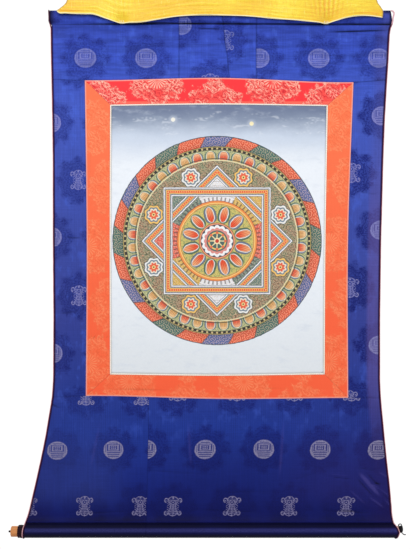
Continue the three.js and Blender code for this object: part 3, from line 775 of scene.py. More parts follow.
def blue_brocade():
    """Ribbed blue silk with dark flowers, silver roundels and palmettes, darker at its foot."""
    f = Finish("blue_brocade", 0.6, Specular_IOR_Level=0.12)
    x, _, z = f.parts(f.place())
    flat = f.vector(x, z)
    across, up, distance, rounds = weave_cells(f)
    grain = f.noise(flat, 0.06, 3.0, 0.6)
    speck = f.noise(f.vector(x * 0.34, z * 0.46), 1.0, 3.0, 0.7)
    dark = dark_flower(f, across, up, distance, grain, speck)
    colour, dark = blue_ground(f, x, z, flat, dark)
    outer = f.attribute("outer")
    low = f.rise(-z, 700, 960)
    colour = blue_sheen_edges_and_foot(f, colour, x, z, outer, low)
    silver = silver_weave(f, across, up, rounds, speck, low)
    colour = silver_thread(f, colour, x, z, silver, speck)
    crease = f.attribute("crease")
    # painted highlight, greyish violet, on the crease ridges at the foot
    colour = f.blend(colour, (76, 70, 138), f.rise(crease, 0.2, 1.5) * low * 0.42)
    tone, weft = blue_tone(f, x, z, crease)
    colour = f.shade(colour, tone)
    f.set("Base Color", casing_shadows(f, colour, x, z, outer, speck))
    f.set("Roughness", 0.62 - silver * 0.12)
    f.bump(z.wave(1.3) * 0.5 + silver * 0.8 - dark * 0.4 + weft, 0.18, 0.4 * MM)
    return f.material


def satin_scrolls(f, x, z):
    """A scrolled medallion with a fan in its middle: its ground, the patches where it shows, its
    light strokes and its dark ones."""
    across, up, distance, rounds = weave_cells(f)
    angle = f.math("ARCTAN2", up, across)
    flat = f.vector(x, z)
    warp = f.noise(flat, 0.1, 2.0) - 0.5
    edge = distance - 54 - (angle * 6).cosine() * 4 - warp * 36
    body = f.inside(edge, 3)
    bent = f.vector(x + warp * 22, z - warp * 18)
    scroll = f.scrolls(bent, 19, 2.6)
    fine = f.scrolls(bent, 8.4, 1.7)
    patch = f.noise(flat, 0.045, 2.0)
    shown = f.rise(patch, 0.36, 0.56)
    strokes = (f.rise(scroll, 0.84, 0.98) | f.rise(fine, 0.86, 0.98) * 0.75) * shown
    spokes = f.rise((angle * 20).cosine(), -0.1, 0.6) * f.span(distance, 4, 19, 2)
    fan = spokes * rounds * f.rise(patch, 0.3, 0.42)
    strokes = strokes * body * f.rise(distance, 17, 22) | fan
    strokes |= f.line(edge + 4, 0.9, 0.9) * f.rise(patch, 0.3, 0.5) * 0.8
    strokes |= f.line(edge + 9, 0.7, 0.7) * shown * 0.5
    shade = body * (1 - f.rise(scroll, 0.02, 0.3)) * f.rise(distance, 16, 21)
    shade |= body * f.line(fine - 0.3, 0.1, 0.08) * 0.7
    return body, patch, strokes, shade


def border_brocade(name, plain, light, dark, fill, foot, hem, strength):
    """Satin with scrolled medallions in its own colour, and a pale turned edge. The hem's colour
    is the one it has just above the painting."""
    f = Finish(name, 0.5, Specular_IOR_Level=0.25, Sheen_Weight=0.06, Sheen_Roughness=0.4)
    x, _, z = f.parts(f.place())
    body, patch, strokes, shade = satin_scrolls(f, x, z)
    colour = f.blend(plain, foot, f.rise(-z, 180, 760))
    colour = f.blend(colour, hem, f.rise(-z, 177, 179.5) * (z > -188))
    colour = f.blend(colour, fill, (body * (0.15 + patch * 0.75) * strength).clamped())
    colour = f.blend(colour, dark, (shade * strength * 0.8).clamped())
    colour = f.blend(colour, light, (strokes * strength).clamped())
    weft, warp_threads = ribs(f, x, z)
    tone = 0.84 + weft * 0.18 + warp_threads * 0.15
    crease = f.attribute("crease")
    # painted shade in the creases and a painted highlight on their ridges
    tone = tone * (1 - f.rise(-crease, 0.15, 1.5) * 0.3) + f.rise(crease, 0.2, 1.4) * 0.08
    colour = f.shade(colour, tone * (1 - f.seam_shadow() * 0.14))
    turned = 1 - f.rise(f.attribute("outer"), 1.4, 3.2)
    colour = f.blend(colour, (255, 186, 172), turned * 0.62)
    f.set("Base Color", colour)
    f.set("Roughness", 0.54 - strokes * 0.1)
    f.bump(strokes * 0.8 + z.wave(1.1) * 0.25, 0.2, 0.35 * MM)
    return f.material


def ring_cells(f, angle, count, shift=0.0):
    """Parts a ring into equal cells: the place in a cell, from -0.5 to 0.5, and its number."""
    share = angle * (count / math.tau) + shift
    return share.centred(1), f.math("FLOOR", share + 0.5)


def is_cell(f, cell, period, number):
    return f.line(f.math("WRAP", cell, period, 0) - number, 0.4, 0.1)


def sky(f, x, z):
    """Slate at the top of the painting, paling to a near-white ground with faint clouds."""
    drift = f.noise(f.vector(x * 0.5, z), 0.03, 3.0, 0.55)
    depth = -z - 184 + (drift - 0.5) * 22
    colour = (112, 124, 152)
    for tint, low, high in (
        ((146, 158, 180), 4, 40), ((206, 216, 232), 26, 68), ((240, 244, 250), 56, 128),
        ((228, 232, 236), 300, 560),
    ):
        colour = f.blend(colour, tint, f.rise(depth, low, high))
    wash = f.noise(f.vector(x * 0.6, z * 1.4), 0.045, 4.0, 0.6)
    colour = f.blend(colour, (206, 214, 228), f.rise(wash, 0.5, 0.78) * 0.4)
    puff = f.curls(f.vector(x * 0.55, z), 9, 1.6)
    patch = f.noise(f.vector(x * 0.7, z * 2.2), 0.035, 1.0)
    cloud = puff * f.rise(patch, 0.56, 0.66) * f.span(depth, 12, 60, 8)
    colour = f.blend(colour, (232, 236, 244), cloud * 0.38)
    for disc_x, disc_z, tint in DISCS:
        away = far(x - disc_x, z - disc_z)
        colour = f.blend(colour, (190, 198, 214), (1 - f.rise(away, 4, 12)) * 0.6)
        colour = f.blend(colour, tint, f.inside(away - 4.2, 0.6))
    return colour


def striped_ring(f, colour, x, z, distance, angle):
    """The outermost ring: slanting fields of three colours, each filled with curls."""
    curl = f.scrolls(f.vector(x, z), 8, 2.1)
    place, cell = ring_cells(f, angle + distance * 0.0035, 24, 0.3)
    band = f.blend((238, 98, 62), (92, 112, 168), is_cell(f, cell, 4, 1))
    band = f.blend(band, (74, 120, 108), is_cell(f, cell, 4, 3))
    band = f.blend(band, (250, 206, 176), f.rise(curl, 0.66, 0.94) * 0.5)
    band = f.blend(band, (56, 58, 70), f.rise(-curl, -0.2, -0.02) * 0.5)
    band = f.blend(band, (86, 70, 70), f.line(abs(place) - 0.5, 0.018, 0.01) * 0.8)
    band = f.shade(band, 0.84 + f.rise(distance, 188, 203) * 0.2)
    colour = f.blend(colour, band, f.inside(distance - 208.4, 0.5))
    return f.blend(colour, (70, 80, 86), f.line(distance - 208.2, 0.75, 0.4))


def beaded_ring(f, colour, distance, angle):
    colour = f.blend(colour, (60, 58, 56), f.inside(distance - 188.4, 0.6))
    colour = f.blend(colour, (196, 176, 110), f.line(distance - 187, 0.6, 0.3))
    place, _ = ring_cells(f, angle, 116)
    bead = far(place * 10, distance - 184) - 1.9
    colour = f.blend(colour, (226, 206, 150), f.inside(bead, 0.5))
    return f.blend(colour, (170, 96, 60), f.inside(bead + 1.3, 0.4))


def outer_petals(f, colour, x, z, distance, angle):
    """A ring of forty petals, red and ochre by turns."""
    leaf = f.scrolls(f.vector(x, z), 5, 1.4)
    ground = f.blend((206, 202, 148), (120, 136, 106), f.rise(leaf, 0.3, 0.7) * 0.7)
    colour = f.blend(colour, ground, f.inside(distance - 181, 0.5))
    place, cell = ring_cells(f, angle, 40, 0.5)
    side = abs(place) * 27
    out = (distance - 164) / 16
    petal = side - 12.2 * (1 - out.clamped() ** 3.2).root() + f.rise(distance, 179, 182) * 20
    red_one = is_cell(f, cell, 2, 0)
    colour = f.blend(colour, (64, 84, 80), f.inside(petal, 0.4))
    rim = f.blend((112, 138, 124), (128, 138, 168), red_one)
    colour = f.layers(colour, petal, 0.3, (-0.9, rim), (-2.8, (242, 232, 200)))
    heart = f.blend((224, 178, 110), (240, 104, 74), red_one)
    heart = f.blend(heart, (250, 208, 160), f.rise(distance, 165, 176) * 0.6)
    colour = f.blend(colour, (150, 76, 56), f.inside(petal + 4.2, 0.3) * (distance < 177.6))
    colour = f.blend(colour, heart, f.inside(petal + 4.9, 0.3) * (distance < 177))
    stroke = f.line((side - 1.6).centred(2.6), 0.35, 0.25) * f.span(distance, 165, 173, 0.6)
    colour = f.blend(colour, (170, 66, 50), stroke * f.inside(petal + 5.4, 0.3))
    return f.blend(colour, (70, 82, 70), f.line(distance - 164, 0.8, 0.4))


def garden(f, colour, x, z, distance):
    """The ground inside the rings: fine scrolling leaves."""
    warp = f.noise(f.vector(x, z), 0.06, 2.0) - 0.5
    spot = f.vector(x + warp * 9, z - warp * 9)
    tint = f.noise(f.vector(x, z), 0.045, 2.0)
    ground = f.blend((134, 136, 104), (166, 122, 98), f.rise(tint, 0.42, 0.6))
    big = f.scrolls(spot, 12, 2.0)
    ground = f.blend(ground, (98, 120, 94), f.rise(big, 0.3, 0.6) * 0.6)
    small = f.scrolls(spot, 5.4, 1.4)
    ground = f.blend(ground, (226, 214, 176), f.rise(small, 0.7, 0.95) * 0.62)
    ground = f.blend(ground, (220, 122, 90), f.rise(big * small, 0.55, 0.8) * 0.66)
    ground = f.blend(ground, (64, 70, 58), f.rise(-big, -0.16, -0.04) * 0.7)
    ground = f.blend(ground, (232, 222, 190), f.line(big - 0.8, 0.07, 0.05) * 0.6)
    colour = f.blend(colour, ground, f.inside(distance - 162, 0.4))
    return f.blend(colour, (236, 226, 180), f.line(distance - 160.6, 1.0, 0.4))


def rosettes(f, colour, distance, angle):
    """A flower in each notch between the points of the crossed squares."""
    place, cell = ring_cells(f, angle, 8, 0.5)
    turn = place * (math.pi / 4)
    across = distance * turn.sine()
    out = distance * turn.cosine() - 137
    away = far(across, out)
    own = f.math("ARCTAN2", out, across)
    scallop = (own * 8).cosine() * 1.3
    colour = f.blend(colour, (62, 66, 66), f.inside(away - 19.4 - scallop, 0.4))
    rim = f.blend((238, 236, 232), (244, 196, 110), is_cell(f, cell, 2, 0))
    colour = f.blend(colour, rim, f.inside(away - 18.2 - scallop, 0.4))
    colour = f.blend(colour, (112, 132, 150), f.inside(away - 14.6 - scallop * 0.7, 0.4))
    leaf = abs((own * 4).cosine()) * 3.6
    colour = f.blend(colour, (240, 228, 206), f.inside(away - 9.4 - leaf, 0.4))
    colour = f.blend(colour, (236, 104, 74), f.inside(away - 6.4 - leaf * 0.9, 0.4))
    return f.layers(colour, away, 0.4, (3.6, (248, 222, 150)), (1.7, (120, 60, 50)))


def square_band(f, colour, distance, along, limit):
    """One of the two crossed squares: a banded frame, by the distance from its middle line and
    the place along it."""
    for half, tint in (
        (9.4, (50, 52, 58)), (8.6, (242, 242, 244)), (6.4, (52, 54, 74)), (5.6, (122, 132, 164)),
        (4.4, (60, 60, 66)), (3.8, (246, 206, 116)), (2.4, (236, 104, 62)),
    ):
        colour = f.blend(colour, tint, f.line(distance, half, 0.3) * limit)
    stitch = f.line(along.centred(4.4), 0.9, 0.4) * f.line(distance, 1.1, 0.4) * limit
    colour = f.blend(colour, (252, 196, 140), stitch)
    notch = f.line(along.centred(3), 0.7, 0.3) * f.line(abs(distance) - 5, 0.6, 0.3) * limit
    return f.blend(colour, (240, 232, 214), notch * 0.7)


def crossed_squares(f, colour, x, z, distance, angle):
    """Two squares laid over each other, each point filled with scrollwork of one colour."""
    upright = abs(x).most(abs(z)) - 98
    leaning = (abs(x) + abs(z)) * math.sqrt(0.5) - 98
    _, cell = ring_cells(f, angle, 8)
    scroll = f.scrolls(f.vector(x, z), 8.5, 1.9)
    fine = f.scrolls(f.vector(x, z), 4.4, 1.3)
    fill = f.blend((236, 102, 86), (226, 184, 92), is_cell(f, cell, 4, 1))
    fill = f.blend(fill, (240, 240, 244), is_cell(f, cell, 4, 2))
    fill = f.blend(fill, (106, 134, 124), is_cell(f, cell, 4, 3))
    fill = f.blend(fill, (250, 226, 196), f.rise(scroll, 0.55, 0.95) * 0.42)
    fill = f.blend(fill, (110, 70, 60), f.rise(-fine, -0.22, 0.0) * 0.34)
    inside = f.inside(upright.least(leaning), 0.4)
    colour = f.blend(colour, fill, inside)
    ring = f.line((distance - 2).centred(9), 0.5, 0.3) * f.rise(distance, 84, 90)
    colour = f.blend(colour, (120, 92, 80), ring * inside * 0.5)
    spikes = (angle * 64).cosine() * f.span(distance, 80, 88, 0.6)
    colour = f.blend(colour, (88, 76, 72), f.rise(spikes, 0.2, 0.7) * 0.7)
    lean_along = (abs(x) - abs(z)) * math.sqrt(0.5)
    colour = square_band(f, colour, leaning, lean_along, f.inside(-abs(upright) - 400, 1))
    return square_band(f, colour, upright, abs(x).least(abs(z)), 1.0)


def inner_petals(f, colour, x, z, distance, angle):
    """Twelve petals on gold, inside a banded rim."""
    colour = f.layers(
        colour, distance, 0.4, (80.6, (150, 74, 54)), (79.6, (246, 150, 84)),
        (76.2, (250, 214, 130)), (74.2, (206, 96, 60)),
    )
    gold = f.blend((224, 202, 116), (150, 160, 104), f.curls(f.vector(x, z), 5, 1.5))
    colour = f.blend(colour, gold, f.inside(distance - 73, 0.4))
    place, cell = ring_cells(f, angle, 12, 0.5)
    side = abs(place) * distance * (math.pi / 6)
    out = abs((distance - 54) / 17)
    petal = side - 12.4 * (1 - out.clamped() ** 2.6).root() + f.rise(distance, 71, 73) * 30
    odd = is_cell(f, cell, 2, 0)
    rim = f.blend((96, 126, 104), (120, 130, 156), odd)
    colour = f.layers(
        colour, petal, 0.3, (0, (58, 62, 66)), (-0.9, rim), (-3.2, (66, 80, 84)),
        (-3.9, (244, 240, 232)), (-5.6, (150, 60, 46)),
    )
    fill = f.blend((240, 92, 58), (248, 172, 120), f.rise(distance, 44, 66))
    colour = f.blend(colour, fill, f.inside(petal + 6.2, 0.3))
    vein = f.line(side.centred(3.4), 0.45, 0.25) * f.inside(petal + 7.4, 0.3)
    return f.blend(colour, (176, 60, 44), vein * 0.7)


def wheel(f, colour, distance, angle):
    """A scalloped ring round a plain wheel of eight spokes."""
    colour = f.layers(
        colour, distance, 0.3, (36.4, (130, 60, 48)), (35.4, (244, 160, 120)),
        (33, (76, 84, 96)),
    )
    scallop = abs((angle * 8).cosine()) * 3.4
    colour = f.blend(colour, (246, 244, 244), f.inside(distance - 28.6 - scallop, 0.3))
    colour = f.blend(colour, (226, 148, 140), f.inside(distance - 24.2 - scallop * 0.7, 0.3))
    colour = f.blend(colour, (84, 108, 104), f.inside(distance - 21, 0.3))
    place, _ = ring_cells(f, angle, 8)
    spoke = f.line(place * distance * (math.pi / 4), 1.1, 0.35) * f.span(distance, 5, 19, 0.4)
    colour = f.blend(colour, (240, 222, 170), spoke)
    colour = f.blend(colour, (242, 206, 120), f.line(distance - 16.6, 1.4, 0.35))
    knob = far(place * distance * (math.pi / 4), distance - 16.6) - 2.6
    colour = f.blend(colour, (236, 110, 76), f.inside(knob, 0.3))
    return f.layers(colour, distance, 0.3, (6.4, (246, 226, 180)), (3.8, (206, 70, 56)))


def painted_cotton():
    """A generic round design of rings, crossed squares and petals on a paling sky."""
    f = Finish("painted_cotton", 0.72, Specular_IOR_Level=0.25)
    spot = f.place()
    x, _, z = f.parts(spot)
    colour = sky(f, x, z)
    hand = f.noise(f.vector(x, z), 0.14, 1.0) - 0.5
    x_in = x - DESIGN[0] + hand * 1.6
    z_in = z - DESIGN[1] - hand * 1.4
    distance = far(x_in, z_in)
    angle = f.math("ARCTAN2", z_in, x_in)
    colour = striped_ring(f, colour, x_in, z_in, distance, angle)
    colour = beaded_ring(f, colour, distance, angle)
    colour = outer_petals(f, colour, x_in, z_in, distance, angle)
    colour = garden(f, colour, x_in, z_in, distance)
    colour = rosettes(f, colour, distance, angle)
    colour = crossed_squares(f, colour, x_in, z_in, distance, angle)
    colour = inner_petals(f, colour, x_in, z_in, distance, angle)
    colour = wheel(f, colour, distance, angle)

    worn = f.noise(spot, 0.2, 4.0, 0.7)
    colour = f.shade(colour, 0.95 + worn * 0.1)
    # a grey band along the painting's edges: a dark edge line, and painted shadow of the cream piping
    colour = f.blend(colour, (96, 92, 104), (1 - f.rise(f.attribute("seam"), 0.6, 2.2)) * 0.24)
    f.set("Base Color", colour)
    f.set("Roughness", 0.7 + worn * 0.08)
    f.bump(x.wave(0.9) * z.wave(0.9) * 0.4 + worn, 0.12, 0.3 * MM)
    return f.material


def bare_cotton():
    f = Finish("bare_cotton", 0.85, Specular_IOR_Level=0.2)
    spot = f.place()
    x, _, z = f.parts(spot)
    mottled = f.noise(spot, 0.012, 3.0)
    thread = f.noise(f.vector(x * 0.9, z * 0.06), 1.0, 2.0) + f.noise(f.vector(x * 0.06, z), 1.0, 2.0)
    colour = f.blend((226, 217, 197), (220, 210, 188), f.rise(mottled, 0.3, 0.75))
    colour = f.shade(colour, 0.92 + thread * 0.08)
    f.set("Base Color", colour)
    f.bump((x * 7).sine() * (z * 7).sine() * 0.4 + thread, 0.2, 0.3 * MM)
    return f.material


def yellow_silk():
    """Thin satin, with painted shade in its folds and painted highlights on their crests, and a pale
    hem along its lower edge.
    """
    f = Finish("yellow_silk", 0.42, Specular_IOR_Level=0.35, Sheen_Weight=0.15, Sheen_Roughness=0.35)
    x, _, z = f.parts(f.place())
    above = f.attribute("seam")
    beside = f.attribute("outer")
    height = f.attribute("crease")
    streak = f.noise(f.vector(x * 0.02, above * 0.55), 1.0, 3.0, 0.6)
    crinkle = f.noise(f.vector(x * 0.55, z * 0.05), 1.0, 3.0, 0.65)
    # painted shade down in the folds and painted highlight on their crests, by the folds' height
    colour = f.ramp(
        height + (streak - 0.5) * 2.4,
        (-2.2, (236, 170, 40)), (-0.4, (248, 204, 52)), (0.8, (253, 226, 64)),
        (2.2, (255, 240, 104)),
    )
    # painted shade and highlights along fine crinkles
    colour = f.blend(colour, (244, 176, 42), f.rise(crinkle, 0.5, 0.72) * 0.5)
    colour = f.blend(colour, (255, 250, 150), f.rise(-crinkle, -0.4, -0.28) * 0.5)
    # painted highlights along the fine folds that follow the lower edge
    colour = f.blend(colour, (255, 246, 150), f.rise(streak, 0.6, 0.8) * 0.4)
    # painted shade of a fold near each lower corner
    corner = f.line(above - 6.4, 1.2, 1.2) * (1 - f.rise(beside, 30, 70)) * f.rise(beside, 2, 10)
    colour = f.blend(colour, (250, 172, 46), corner * 0.8)
    # thin lines of painted shade along the fine folds
    drawn = f.line(streak - 0.5, 0.016, 0.02) | f.line(streak - 0.4, 0.012, 0.02) * 0.7
    colour = f.blend(colour, (226, 158, 40), drawn * 0.6)
    hem = 1 - f.rise(above, 1.2, 2.6)
    colour = f.blend(colour, (255, 244, 196), hem * 0.8)
    brim = 1 - f.rise(beside, 1.2, 3.2)
    colour = f.blend(colour, (150, 118, 66), brim * 0.6)
    f.set("Base Color", colour)
    f.bump(x.wave(0.9) * 0.3 + streak + crinkle, 0.2, 0.4 * MM)
    return f.material


def satin_cord(name, light, dark, pitch):
    """Twisted cord: its plies show as slanting stripes on the map along it."""
    f = Finish(name, 0.5, Specular_IOR_Level=0.3)
    around, along, _ = f.parts(f.map("weave"))
    ply = (around * math.tau + along * (math.tau / pitch)).sine()
    worn = f.noise(f.place(), 0.05, 3.0)
    share = (0.42 - ply * 0.28 + (worn - 0.5) * 1.2).clamped()
    f.set("Base Color", f.blend(light, dark, share))
    f.bump(ply, 0.35, 0.4 * MM)
    return f.material


def red_piping():
    """Satin piping, pale pink on the side that faces outwards and dark maroon beside the blue cloth.
    """
    f = Finish("red_piping", 0.5, Specular_IOR_Level=0.25)
    x, _, z = f.parts(f.place())
    outward = f.attribute("side") * ((x > 0) * 2 - 1)
    worn = f.noise(f.vector(x, z), 0.05, 3.0) - 0.5
    colour = f.ramp(
        outward + worn * 0.7,
        (-1, (30, 8, 44)), (-0.1, (64, 12, 48)), (0.28, (176, 66, 90)),
        (0.62, (250, 184, 190)), (1, (255, 222, 222)),
    )
    head = f.rise(z, -30, -24)
    colour = f.blend(colour, (52, 10, 38), head * (x < 0) * 0.8)
    colour = f.blend(colour, (255, 200, 208), head * (x > 0) * 0.75)
    low = 1 - f.rise(z, -1010, -960)
    colour = f.blend(colour, (255, 196, 200), low * (outward > -0.1) * 0.6)
    f.set("Base Color", colour)
    f.bump(z.wave(1.6), 0.2, 0.3 * MM)
    return f.material


def dark_lining():
    f = Finish("dark_lining", 0.8, Specular_IOR_Level=0.2)
    spot = f.place()
    rough = f.noise(spot, 0.5, 3.0)
    f.set("Base Color", f.blend((16, 4, 14), (54, 10, 30), f.rise(rough, 0.4, 0.7)))
    f.bump(rough, 0.4, 0.5 * MM)
    return f.material


def wood():
    """Bare turned softwood, with its grain and pores along the bar."""
    f = Finish("wood", 0.6, Specular_IOR_Level=0.3)
    x, y, z = f.parts(f.place())
    grain = f.noise(f.vector(x * 0.018, y * 0.9, z * 0.9), 1.0, 4.0, 0.65)
    pore = f.noise(f.vector(x * 0.12, y * 4.0, z * 4.0), 1.0, 2.0)
    colour = f.blend((226, 152, 92), (176, 104, 56), f.rise(grain, 0.4, 0.68))
    colour = f.blend(colour, (118, 74, 42), f.rise(pore, 0.6, 0.8) * 0.5)
    f.set("Base Color", colour)
    f.bump(grain + pore * 0.5, 0.2, 0.4 * MM)
    return f.material


def nail_iron():
    f = Finish("nail_iron", 0.55, Metallic=0.15, Specular_IOR_Level=0.4)
    rust = f.noise(f.place(), 0.9, 3.0)
    f.set("Base Color", f.blend((26, 20, 22), (62, 36, 28), f.rise(rust, 0.5, 0.72)))
    f.bump(rust, 0.3, 0.3 * MM)
    return f.material


def plain_thread(name, colour, dark):
    f = Finish(name, 0.8, Specular_IOR_Level=0.2)
    around, along, _ = f.parts(f.map("weave"))
    ply = (around * math.tau + along * (math.tau / 1.8)).sine()
    f.set("Base Color", f.blend(colour, dark, 0.5 - ply * 0.4))
    f.bump(ply, 0.5, 0.3 * MM)
    return f.material


RED = {
    "plain": (255, 50, 56), "light": (255, 190, 168), "dark": (206, 20, 40),
    "fill": (252, 104, 88), "foot": (255, 50, 56), "hem": (255, 106, 88), "strength": 1.0,
}
ORANGE = {
    "plain": (255, 116, 72), "light": (255, 168, 120), "dark": (232, 84, 44),
    "fill": (255, 138, 84), "foot": (255, 98, 58), "hem": (255, 116, 72), "strength": 0.42,
}
FINISHES = {
    "blue_brocade": blue_brocade(),
    "red_brocade": border_brocade("red_brocade", **RED),
    "orange_brocade": border_brocade("orange_brocade", **ORANGE),
    "painted_cotton": painted_cotton(),
    "bare_cotton": bare_cotton(),
    "yellow_silk": yellow_silk(),
    "cream_piping": satin_cord("cream_piping", (255, 252, 244), (246, 232, 208), 4.5),
    "red_piping": red_piping(),
    "dark_lining": dark_lining(),
    "wood": wood(),
    "nail_iron": nail_iron(),
    "black_thread": plain_thread("black_thread", (38, 34, 40), (12, 10, 14)),
    "white_thread": plain_thread("white_thread", (250, 248, 240), (216, 210, 196)),
}


def finished(name, bm, finish, *nodes):
    """Makes a piece of the object from a bmesh in millimetres."""
    bmesh.ops.scale(bm, vec=(MM, MM, MM), verts=bm.verts)
    for face in bm.faces:
        face.smooth = True
    mesh = bpy.data.meshes.new(name)
    bm.to_mesh(mesh)
    bm.free()
    piece = bpy.data.objects.new(name, mesh)
    bpy.context.scene.collection.objects.link(piece)
    mesh.materials.append(FINISHES[finish])
    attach(piece, "root")
    if nodes:
        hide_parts(*nodes)
    return piece


def new_grid(bm, columns, rows):
    """Adds a flat grid, and lists each of its points with its column and its row."""
    grid = bmesh.ops.create_grid(bm, x_segments=columns, y_segments=rows, size=0.5)
    return [
        (vert, round((vert.co.x + 0.5) * columns), round((vert.co.y + 0.5) * rows))
        for vert in grid["verts"]
    ]


def lay_map(faces, pattern, spots):
    """Gives the corners of the faces their places on a map."""
    for face in faces:
        for loop in face.loops:
            loop[pattern].uv = spots[loop.vert]


def marks(length, cell, first=True, last=True):
    """Shares of a length: an even grid, closer at an end that is a seam."""
    count = max(2, round(length / cell))
    shares = {step / count for step in range(count + 1)}
    near = [mark / length for mark in SEAM_MARKS if mark < length / 2.5]
    if first:
        shares = {share for share in shares if share == 0 or share > near[-1] * 1.3}
        shares |= set(near)
    if last:
        shares = {share for share in shares if share == 1 or share < 1 - near[-1] * 1.3}
        shares |= {1 - share for share in near}
    return sorted(shares)


def woven(name, finish, across, rows, point, weave, flat, thick=CLOTH, back=None):
    """A sheet of cloth: a grid laid out by point(), which gives x, y, z, the distances to the
    nearest seam and to the outer edge, and the height of its creases. weave() gives the pattern's
    place at a grid point."""
    bm = bmesh.new()
    layers = [bm.verts.layers.float.new(layer) for layer in ("seam", "outer", "crease")]
    pattern = bm.loops.layers.uv.new("weave")
    spots = {}
    for vert, step, row in new_grid(bm, len(across) - 1, rows - 1):
        x, y, z, *measures = point(across[step], row)
        vert.co = (x, y, z)
        for layer, measure in zip(layers, measures):
            vert[layer] = measure
        spots[vert] = weave(x, z, row)
    lay_map(bm.faces, pattern, spots)
    piece = finished(f"{name}_cloth", bm, finish, name)
    solidify = piece.modifiers.new("thickness", "SOLIDIFY")
    solidify.thickness = thick * MM
    solidify.offset = 0
    solidify.use_even_offset = True
    if back:
        piece.data.materials.append(FINISHES[back])
        solidify.material_offset = 1
        solidify.material_offset_rim = 1


def cloth_weave(name):
    """The place in the woven repeat, for the pieces cut along the cloth and those cut across it."""
    if name in CROSS_WEAVES:
        middle_x, middle_z = CROSS_WEAVES[name]
        return lambda x, z: ((z - middle_z) / PITCH_ACROSS, (x - middle_x) / PITCH_DOWN)
    columns, rows, lean = WEAVES.get(name, ([0, PITCH_ACROSS], [(0, 0), (PITCH_DOWN, 1)], 0))
    u_at = carried([(x, number) for number, x in enumerate(columns)])
    v_at = carried(rows)
    level = next(z for z, number in rows if number == 0)
    return lambda x, z: (u_at(x - lean * (z - level)), v_at(z))


class Outline:
    """A sheet's edges: left and right give x at a height, foot and top give z at an x."""

    def __init__(self, left, right, foot, top, middle_z):
        self.left = left
        self.right = right
        self.foot = foot
        self.top = top
        self.middle_x = (left(middle_z) + right(middle_z)) / 2
        self.wide = right(middle_z) - left(middle_z)
        self.high = top(self.middle_x) - foot(self.middle_x)

    def between(self, z, across):
        """The x at a share of the way across, just inside the edges."""
        return lerp(self.left(z) + SEAM_GAP, self.right(z) - SEAM_GAP, across)

    def point(self, across, up):
        """The place at a share of the way across and up, found by a few steps towards it."""
        x = self.middle_x
        z = lerp(self.foot(x), self.top(x), up)
        for _ in range(4):
            x = self.between(z, across)
            z = lerp(self.foot(x) + SEAM_GAP, self.top(x) - SEAM_GAP, up)
        return x, z

    def beside(self, x, z):
        """The distances to the left and the right edge."""
        return {"left": x - self.left(z), "right": self.right(z) - x}


def flat_cloth(name, finish, outline, seams, outer=None, cell=CELL, **rest):
    """A sheet between seams. seams says which of left, right, foot and top turn back in a seam,
    and outer which one of them is the strip's outer edge."""
    across = marks(outline.wide, cell, "left" in seams, "right" in seams)
    up = marks(outline.high, cell, "foot" in seams, "top" in seams)

    def point(share, row):
        x, z = outline.point(share, up[row])
        sides = {
            **outline.beside(x, z), "foot": z - outline.foot(x), "top": outline.top(x) - z,
        }
        nearest = min([sides[side] for side in seams] or sides.values())
        to_outer = sides[outer] if outer else FAR_OFF
        turned_back = seam_turn(nearest) if seams else 0
        return x, -stand(x, z) + turned_back, z, nearest, to_outer, creases(x, z)

    pattern = cloth_weave(name)
    weave = lambda x, z, row: pattern(x, z)
    flat = (outline.wide, outline.high)
    woven(name, finish, across, len(up), point, weave, flat, **rest)


def arc(centre_z, radius, start, end, turns):
    """A round stretch of a side view, by angles from straight up that turn towards the wall."""
    angles = [math.radians(lerp(start, end, turn / turns)) for turn in range(turns + 1)]
    return [(radius * math.sin(a), centre_z + radius * math.cos(a)) for a in angles]


def side_path(points):
    """A side view drawn as one smooth line: rows of y, z and the length so far."""
    lengths = [0]
    for (y0, z0), (y1, z1) in zip(points, points[1:]):
        lengths.append(lengths[-1] + math.hypot(y1 - y0, z1 - z0))
    y_at = through(list(zip(lengths, [y for y, _ in points])))
    z_at = through(list(zip(lengths, [z for _, z in points])))
    count = round(lengths[-1] / PATH_STEP)
    stops = [lengths[-1] * i / count for i in range(count + 1)]
    return [(y_at(stop), z_at(stop), stop) for stop in stops]


HEAD_ARC = arc(HEAD_CENTRE_Z, HEAD_RADIUS, -90, 90, 10)
HEAD_PATH = side_path([*HEAD_FRONT, *HEAD_ARC, *HEAD_BACK])
FOOT_ARC = arc(FOOT_CENTRE_Z, FOOT_RADIUS, FOOT_OPENING, 360 - FOOT_OPENING, 16)
FOOT_PATH = side_path([*FOOT_BACK, *FOOT_ARC, *FOOT_FRONT])


def cased_panel(name, outline, path, seams, at_foot):
    """A blue panel: a flat stretch, and a casing that follows a side view."""
    across = marks(outline.wide, CELL, "left" in seams, "right" in seams)
    # Each row is a share of the flat stretch, or a point of the side view
    stops = [("flat", share) for share in marks(outline.high, CELL, not at_foot, at_foot)]
    casing = [("casing", row) for row in (path[:-1] if at_foot else path[1:])]
    stops = casing + stops if at_foot else stops + casing
    length = path[-1][2]
    seam = outline.top if at_foot else outline.foot

    def point(share, row):
        kind, stop = stops[row]
        if kind == "flat":
            x, z = outline.point(share, stop)
            y = -stand(x, z)
            height = creases(x, z)
            to_seam = abs(seam(x) - z)
        else:
            y, z, _ = stop
            x = outline.between(z, share)
            faces_viewer = y < 0 if at_foot else y <= 0.5 and z < HEAD_CENTRE_Z
            height = creases(x, z) if faces_viewer else 0
            y -= height
            to_seam = FAR_OFF
        sides = outline.beside(x, z)
        nearest = min([to_seam, *(sides[side] for side in seams)])
        outer = min([FAR_OFF, *(sides[side] for side in sides if side not in seams)])
        return x, y + seam_turn(nearest), z, nearest, outer, height

    pattern = cloth_weave(name)

    def weave(x, z, row):
        kind, stop = stops[row]
        if kind == "casing":
            z = FOOT_FADE[0] - (length - stop[2]) if at_foot else HEAD_FADE[0] + stop[2]
        return pattern(x, z)

    flat = (outline.wide, outline.high + length)
    woven(name, "blue_brocade", across, len(stops), point, weave, flat)


